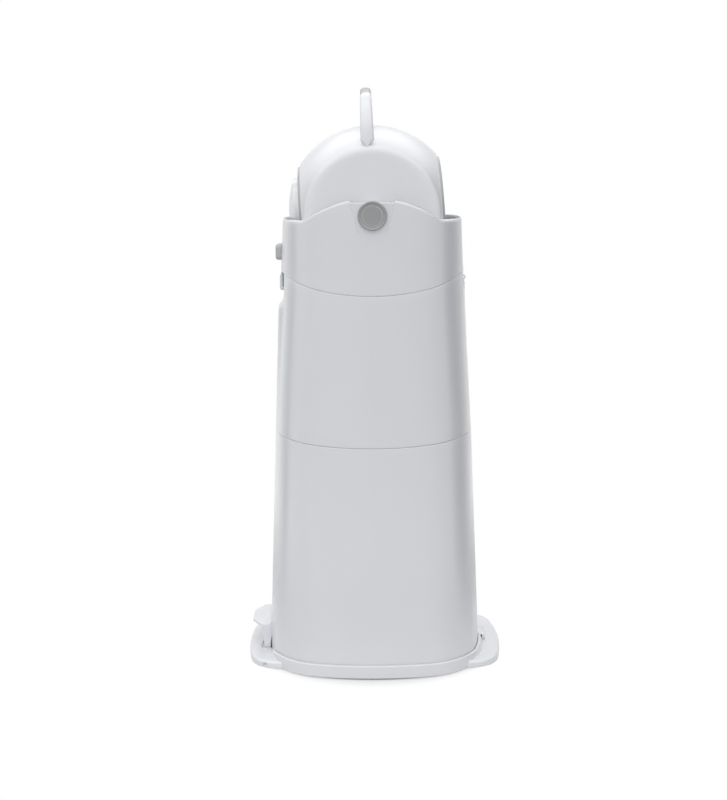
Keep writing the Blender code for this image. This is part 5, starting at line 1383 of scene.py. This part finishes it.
class NAPPYBIN_OT_piston(bpy.types.Operator):
    """Build the domed face at each end of the piston"""

    bl_idname = "nappy_bin.piston"
    bl_label = "Piston"

    def execute(self, context):
        stop = TUBE_HALF - 0.015
        seat, radius, edge, crown, wall, lip, power = 0.0153, 0.0485, 0.0285, 0.0375, 0.0025, 0.002, 2.2
        shares = np.linspace(0.985, 0.03, 30)
        drops = (crown - edge) * shares**power
        profile = [(crown - wall - d, (radius - wall) * s) for d, s in zip(drops[::-1], shares[::-1])]
        profile += [(seat, radius - wall), (seat, radius), (edge - lip, radius)]
        profile += [(crown - d, radius * s) for d, s in zip(drops, shares)]
        for side, name in ((-1, "front"), (1, "rear")):
            shape = turned([(side * a, r) for a, r in profile], "Y", 128, centre=(0, -stop, 0))
            nodes = [f"piston_face_{name}"]
            shape = into_place(shape)
            as_piece(f"piston_dome_{name}", shape, "white_plastic", nodes, "piston", 40, "drum_white_painted_lighter")
        return {"FINISHED"}


class NAPPYBIN_OT_cradle(bpy.types.Operator):
    """Build the bowl that the drum turns in, with its flange and its throat"""

    bl_idname = "nappy_bin.cradle"
    bl_label = "Drum cradle"

    def execute(self, context):
        pivot = drum().pivot_z
        flange, thick, run, head_gap, far = 0.5272, 0.0024, 0.0014, 0.0004, 0.3
        throat_r, throat_z = 0.0623, 0.34
        outer, inner = barrel_shape(run + thick), barrel_shape(run)
        for shape in (outer, inner):
            shape.transform(Matrix.Translation((0, 0, pivot)))
        bowl = carve(outer, [block((-far, -far, flange - thick / 2), (far, far, 3 * far))])
        edge = body().head_wall + head_gap
        plate = loft([body_ring(edge, level(z), level(z), 0) for z in (flange - thick, flange)])
        tools = [inner, rod("Z", throat_z, pivot, throat_r, steps=128)]
        tools += [rod("Z", 0.51, 0.54, 0.0018, (x, y, 0)) for x, y in cradle_places()]
        mesh = carve(carve(bowl, [plate], "UNION"), tools)
        as_piece("cradle_moulding", mesh, "liner_plastic", ["drum_cradle"], "head", 30)
        return {"FINISHED"}


class NAPPYBIN_OT_carried(bpy.types.Operator):
    """Give the CAD nodes that stay their finishes"""

    bl_idname = "nappy_bin.carried"
    bl_label = "Inner pieces"

    def execute(self, context):
        slots = {row["node"]: row["material_slot"] for row in frame["record"]["subparts"]}
        for name, piece in NODES.items():
            if not piece.hide_render:
                piece.data.materials.clear()
                piece.data.materials.append(FINISHES[slots[name]])
        return {"FINISHED"}


def facing(tree, direction, aim, start, end, low, high):
    """A level that goes from low to high as a direction comes nearer to an aim."""
    links = {0: direction, 1: Vector(aim).normalized()}
    near = node(tree, "ShaderNodeVectorMath", links, operation="DOT_PRODUCT").outputs["Value"]
    links = {0: near, 1: start, 2: end, 3: low, 4: high}
    return node(tree, "ShaderNodeMapRange", links, interpolation_type="SMOOTHSTEP").outputs["Result"]


def reflected(tree, direction, backdrop):
    """What the gloss mirrors: a wide panel beside the camera, a dark gap to the rear, and the backdrop."""
    strength = facing(tree, direction, (0.99, -0.12, 0.1), -0.24, -0.02, 0.1, 2.0)
    lobes = (
        ((-1, 0, 0), 0.35, 0.6, backdrop),
        ((-0.44, -0.9, 0), 0.7, 0.92, 0.35),
        ((0, 0, 1), 0.35, 0.7, 1.6),
    )
    for aim, start, end, high in lobes:
        part = facing(tree, direction, aim, start, end, 0.0, high)
        strength = node(tree, "ShaderNodeMath", {0: strength, 1: part}, operation="ADD").outputs[0]
    return strength


def glowing(tree, strength):
    links = {"Color": (1, 1, 1, 1), "Strength": strength}
    return node(tree, "ShaderNodeEmission", links).outputs[0]


def mixed_shader(tree, share, first, second):
    return node(tree, "ShaderNodeMixShader", {0: share, 1: first, 2: second}).outputs[0]


def make_floor(scene):
    """The paper sweep: it glows evenly white where the camera sees it away from the bin; its colour is painted
    darker further out and to the rear, as painted shade, and glossy rays see a painted reflection on it.
    """
    paper, tree, shader = material("paper_sweep", colours().floor, 0.9)
    path = node(tree, "ShaderNodeLightPath").outputs
    place = node(tree, "ShaderNodeTexCoord").outputs["Object"]
    behind = node(tree, "ShaderNodeSeparateXYZ", {0: place}).outputs["Y"]
    distance = node(tree, "ShaderNodeVectorMath", {0: place}, operation="LENGTH").outputs["Value"]
    # Painted shade: the paper's colour darkens further out and towards the rear, for the studio light that falls
    # off away from the bin.
    grey = times(tree, ramp(tree, distance, 0.2, 0.45, 0.82, 0.45), ramp(tree, behind, 0.25, 0.8, 1.0, 0.25))
    shade = node(tree, "ShaderNodeCombineXYZ", {i: grey for i in range(3)})
    tree.links.new(shade.outputs[0], shader.inputs["Base Color"])
    seen = times(tree, path["Is Camera Ray"], ramp(tree, distance, 0.128, 0.160))
    near = mixed_shader(tree, seen, shader.outputs[0], glowing(tree, 1.0))
    incoming = node(tree, "ShaderNodeNewGeometry").outputs["Incoming"]
    sight = node(tree, "ShaderNodeVectorMath", {0: incoming, 3: -1.0}, operation="SCALE").outputs[0]
    # Painted reflection: glossy rays further out see the floor glow with the studio's panel, gap and backdrop.
    painted_reflection_share = times(tree, path["Is Glossy Ray"], ramp(tree, distance, 0.3, 0.9))
    whole = mixed_shader(tree, painted_reflection_share, near, glowing(tree, reflected(tree, sight, 1.0)))
    tree.links.new(whole, tree.nodes["Material Output"].inputs["Surface"])
    sheet, half_side = bmesh.new(), 6
    bmesh.ops.create_grid(sheet, x_segments=8, y_segments=8, size=half_side)
    mesh = bpy.data.meshes.new("floor")
    sheet.to_mesh(mesh)
    sheet.free()
    mesh.materials.append(paper)
    floor = bpy.data.objects.new("floor", mesh)
    scene.collection.objects.link(floor)


def make_world(scene):
    """The soft light all round, which also stands in for the studio in reflections."""
    world = bpy.data.worlds.new("studio")
    scene.world = world
    world.use_nodes = True
    tree = world.node_tree
    tree.nodes.clear()
    sky = node(tree, "ShaderNodeTexCoord").outputs["Generated"]
    path = node(tree, "ShaderNodeLightPath").outputs
    strength = facing(tree, sky, (0.15, -0.05, 1), 0.1, 0.98, 0.97, 1.19)
    # The sides are brighter and the front and the rear darker, each as (aim, start, end, level).
    for aim, start, end, high in (
        ((1, 0, 0), 0.2, 0.95, 1.37),
        ((-1, 0, 0), 0.2, 0.9, 1.57),
        ((0.08, 1, 0), 0.2, 0.95, 0.17),
        ((0.3, -1, 0), 0.3, 0.95, 0.32),
    ):
        strength = times(tree, strength, facing(tree, sky, aim, start, end, 1.0, high))
    links = {0: path["Is Glossy Ray"], 2: strength, 3: reflected(tree, sky, 0.85)}
    links = {"Color": (0.985, 0.992, 1, 1), "Strength": node(tree, "ShaderNodeMix", links).outputs[0]}
    light = node(tree, "ShaderNodeBackground", links).outputs[0]
    white = node(tree, "ShaderNodeBackground", {"Color": (1, 1, 1, 1), "Strength": 1.0}).outputs[0]
    mixed = mixed_shader(tree, path["Is Camera Ray"], light, white)
    tree.links.new(mixed, node(tree, "ShaderNodeOutputWorld").inputs["Surface"])


class NAPPYBIN_OT_stage(bpy.types.Operator):
    """Set up the pale floor, the soft light and the camera"""

    bl_idname = "nappy_bin.stage"
    bl_label = "Stage"

    def execute(self, context):
        scene = context.scene
        scene.view_settings.view_transform = "Standard"
        make_floor(scene)
        make_world(scene)
        lamp = bpy.data.lights.new("overhead", "AREA")
        lamp.shape = "RECTANGLE"
        lamp.size, lamp.size_y = 1.2, 1.6
        lamp.energy = 1
        above = bpy.data.objects.new("overhead", lamp)
        above.location = (0.1, 0.0, 2.1)
        scene.collection.objects.link(above)
        place_camera(scene)
        return {"FINISHED"}


def place_camera(scene):
    """Stands the camera where the photograph was taken from: at the bin's left side, a little above it."""
    distance, height, aside = 1.8, 0.614, 0.0121
    yaw, pitch, roll = -0.004, 0.1636, 0.007
    ahead = Vector((math.cos(yaw), -math.sin(yaw), 0))
    right = Vector((math.sin(yaw), math.cos(yaw), 0))
    lens = bpy.data.cameras.new("camera")
    lens.sensor_width = 36
    lens.lens = 65.7
    camera = bpy.data.objects.new("camera", lens)
    camera.location = ahead * distance - right * aside + Vector((0, 0, height))
    back = ahead * math.cos(pitch) + Vector((0, 0, math.sin(pitch)))
    up = back.cross(right)
    turn = Matrix((right, up, back)).transposed().to_4x4()
    camera.matrix_world = Matrix.Translation(camera.location) @ turn @ Matrix.Rotation(-roll, 4, "Z")
    scene.collection.objects.link(camera)
    scene.camera = camera


OPERATORS = (
    NAPPYBIN_OT_base,
    NAPPYBIN_OT_catch,
    NAPPYBIN_OT_bucket,
    NAPPYBIN_OT_middle,
    NAPPYBIN_OT_bag_ring,
    NAPPYBIN_OT_head,
    NAPPYBIN_OT_keepers,
    NAPPYBIN_OT_badges,
    NAPPYBIN_OT_latch,
    NAPPYBIN_OT_screws,
    NAPPYBIN_OT_hinge,
    NAPPYBIN_OT_casing,
    NAPPYBIN_OT_chamber,
    NAPPYBIN_OT_handle,
    NAPPYBIN_OT_piston,
    NAPPYBIN_OT_cradle,
    NAPPYBIN_OT_carried,
    NAPPYBIN_OT_stage,
)
GROUPS = (
    ("nappy_bin_body", NappyBinBody),
    ("nappy_bin_base", NappyBinBase),
    ("nappy_bin_drum", NappyBinDrum),
    ("nappy_bin_colours", NappyBinColours),
)


class NAPPYBIN_PT_panel(bpy.types.Panel):
    """Lists the bin's sizes, colours and build steps"""

    bl_idname = "NAPPYBIN_PT_panel"
    bl_label = "Nappy bin"
    bl_space_type = "VIEW_3D"
    bl_region_type = "UI"
    bl_category = "Nappy bin"

    def draw(self, context):
        for name, group in GROUPS:
            box = self.layout.box()
            values = getattr(context.scene, name)
            for key in group.__annotations__:
                box.prop(values, key)
        for operator in OPERATORS:
            self.layout.operator(operator.bl_idname)


def register():
    for name, group in GROUPS:
        bpy.utils.register_class(group)
        setattr(bpy.types.Scene, name, PointerProperty(type=group))
    for kind in (*OPERATORS, NAPPYBIN_PT_panel):
        bpy.utils.register_class(kind)


def unregister():
    for kind in reversed((*OPERATORS, NAPPYBIN_PT_panel)):
        bpy.utils.unregister_class(kind)
    for name, group in reversed(GROUPS):
        delattr(bpy.types.Scene, name)
        bpy.utils.unregister_class(group)


def main():
    global OUTLINE
    register()
    FINISHES.update(make_materials())
    OUTLINE = make_outline()
    for operator in OPERATORS:
        family, name = operator.bl_idname.split(".")
        getattr(getattr(bpy.ops, family), name)()


if __name__ == "__main__":
    main()
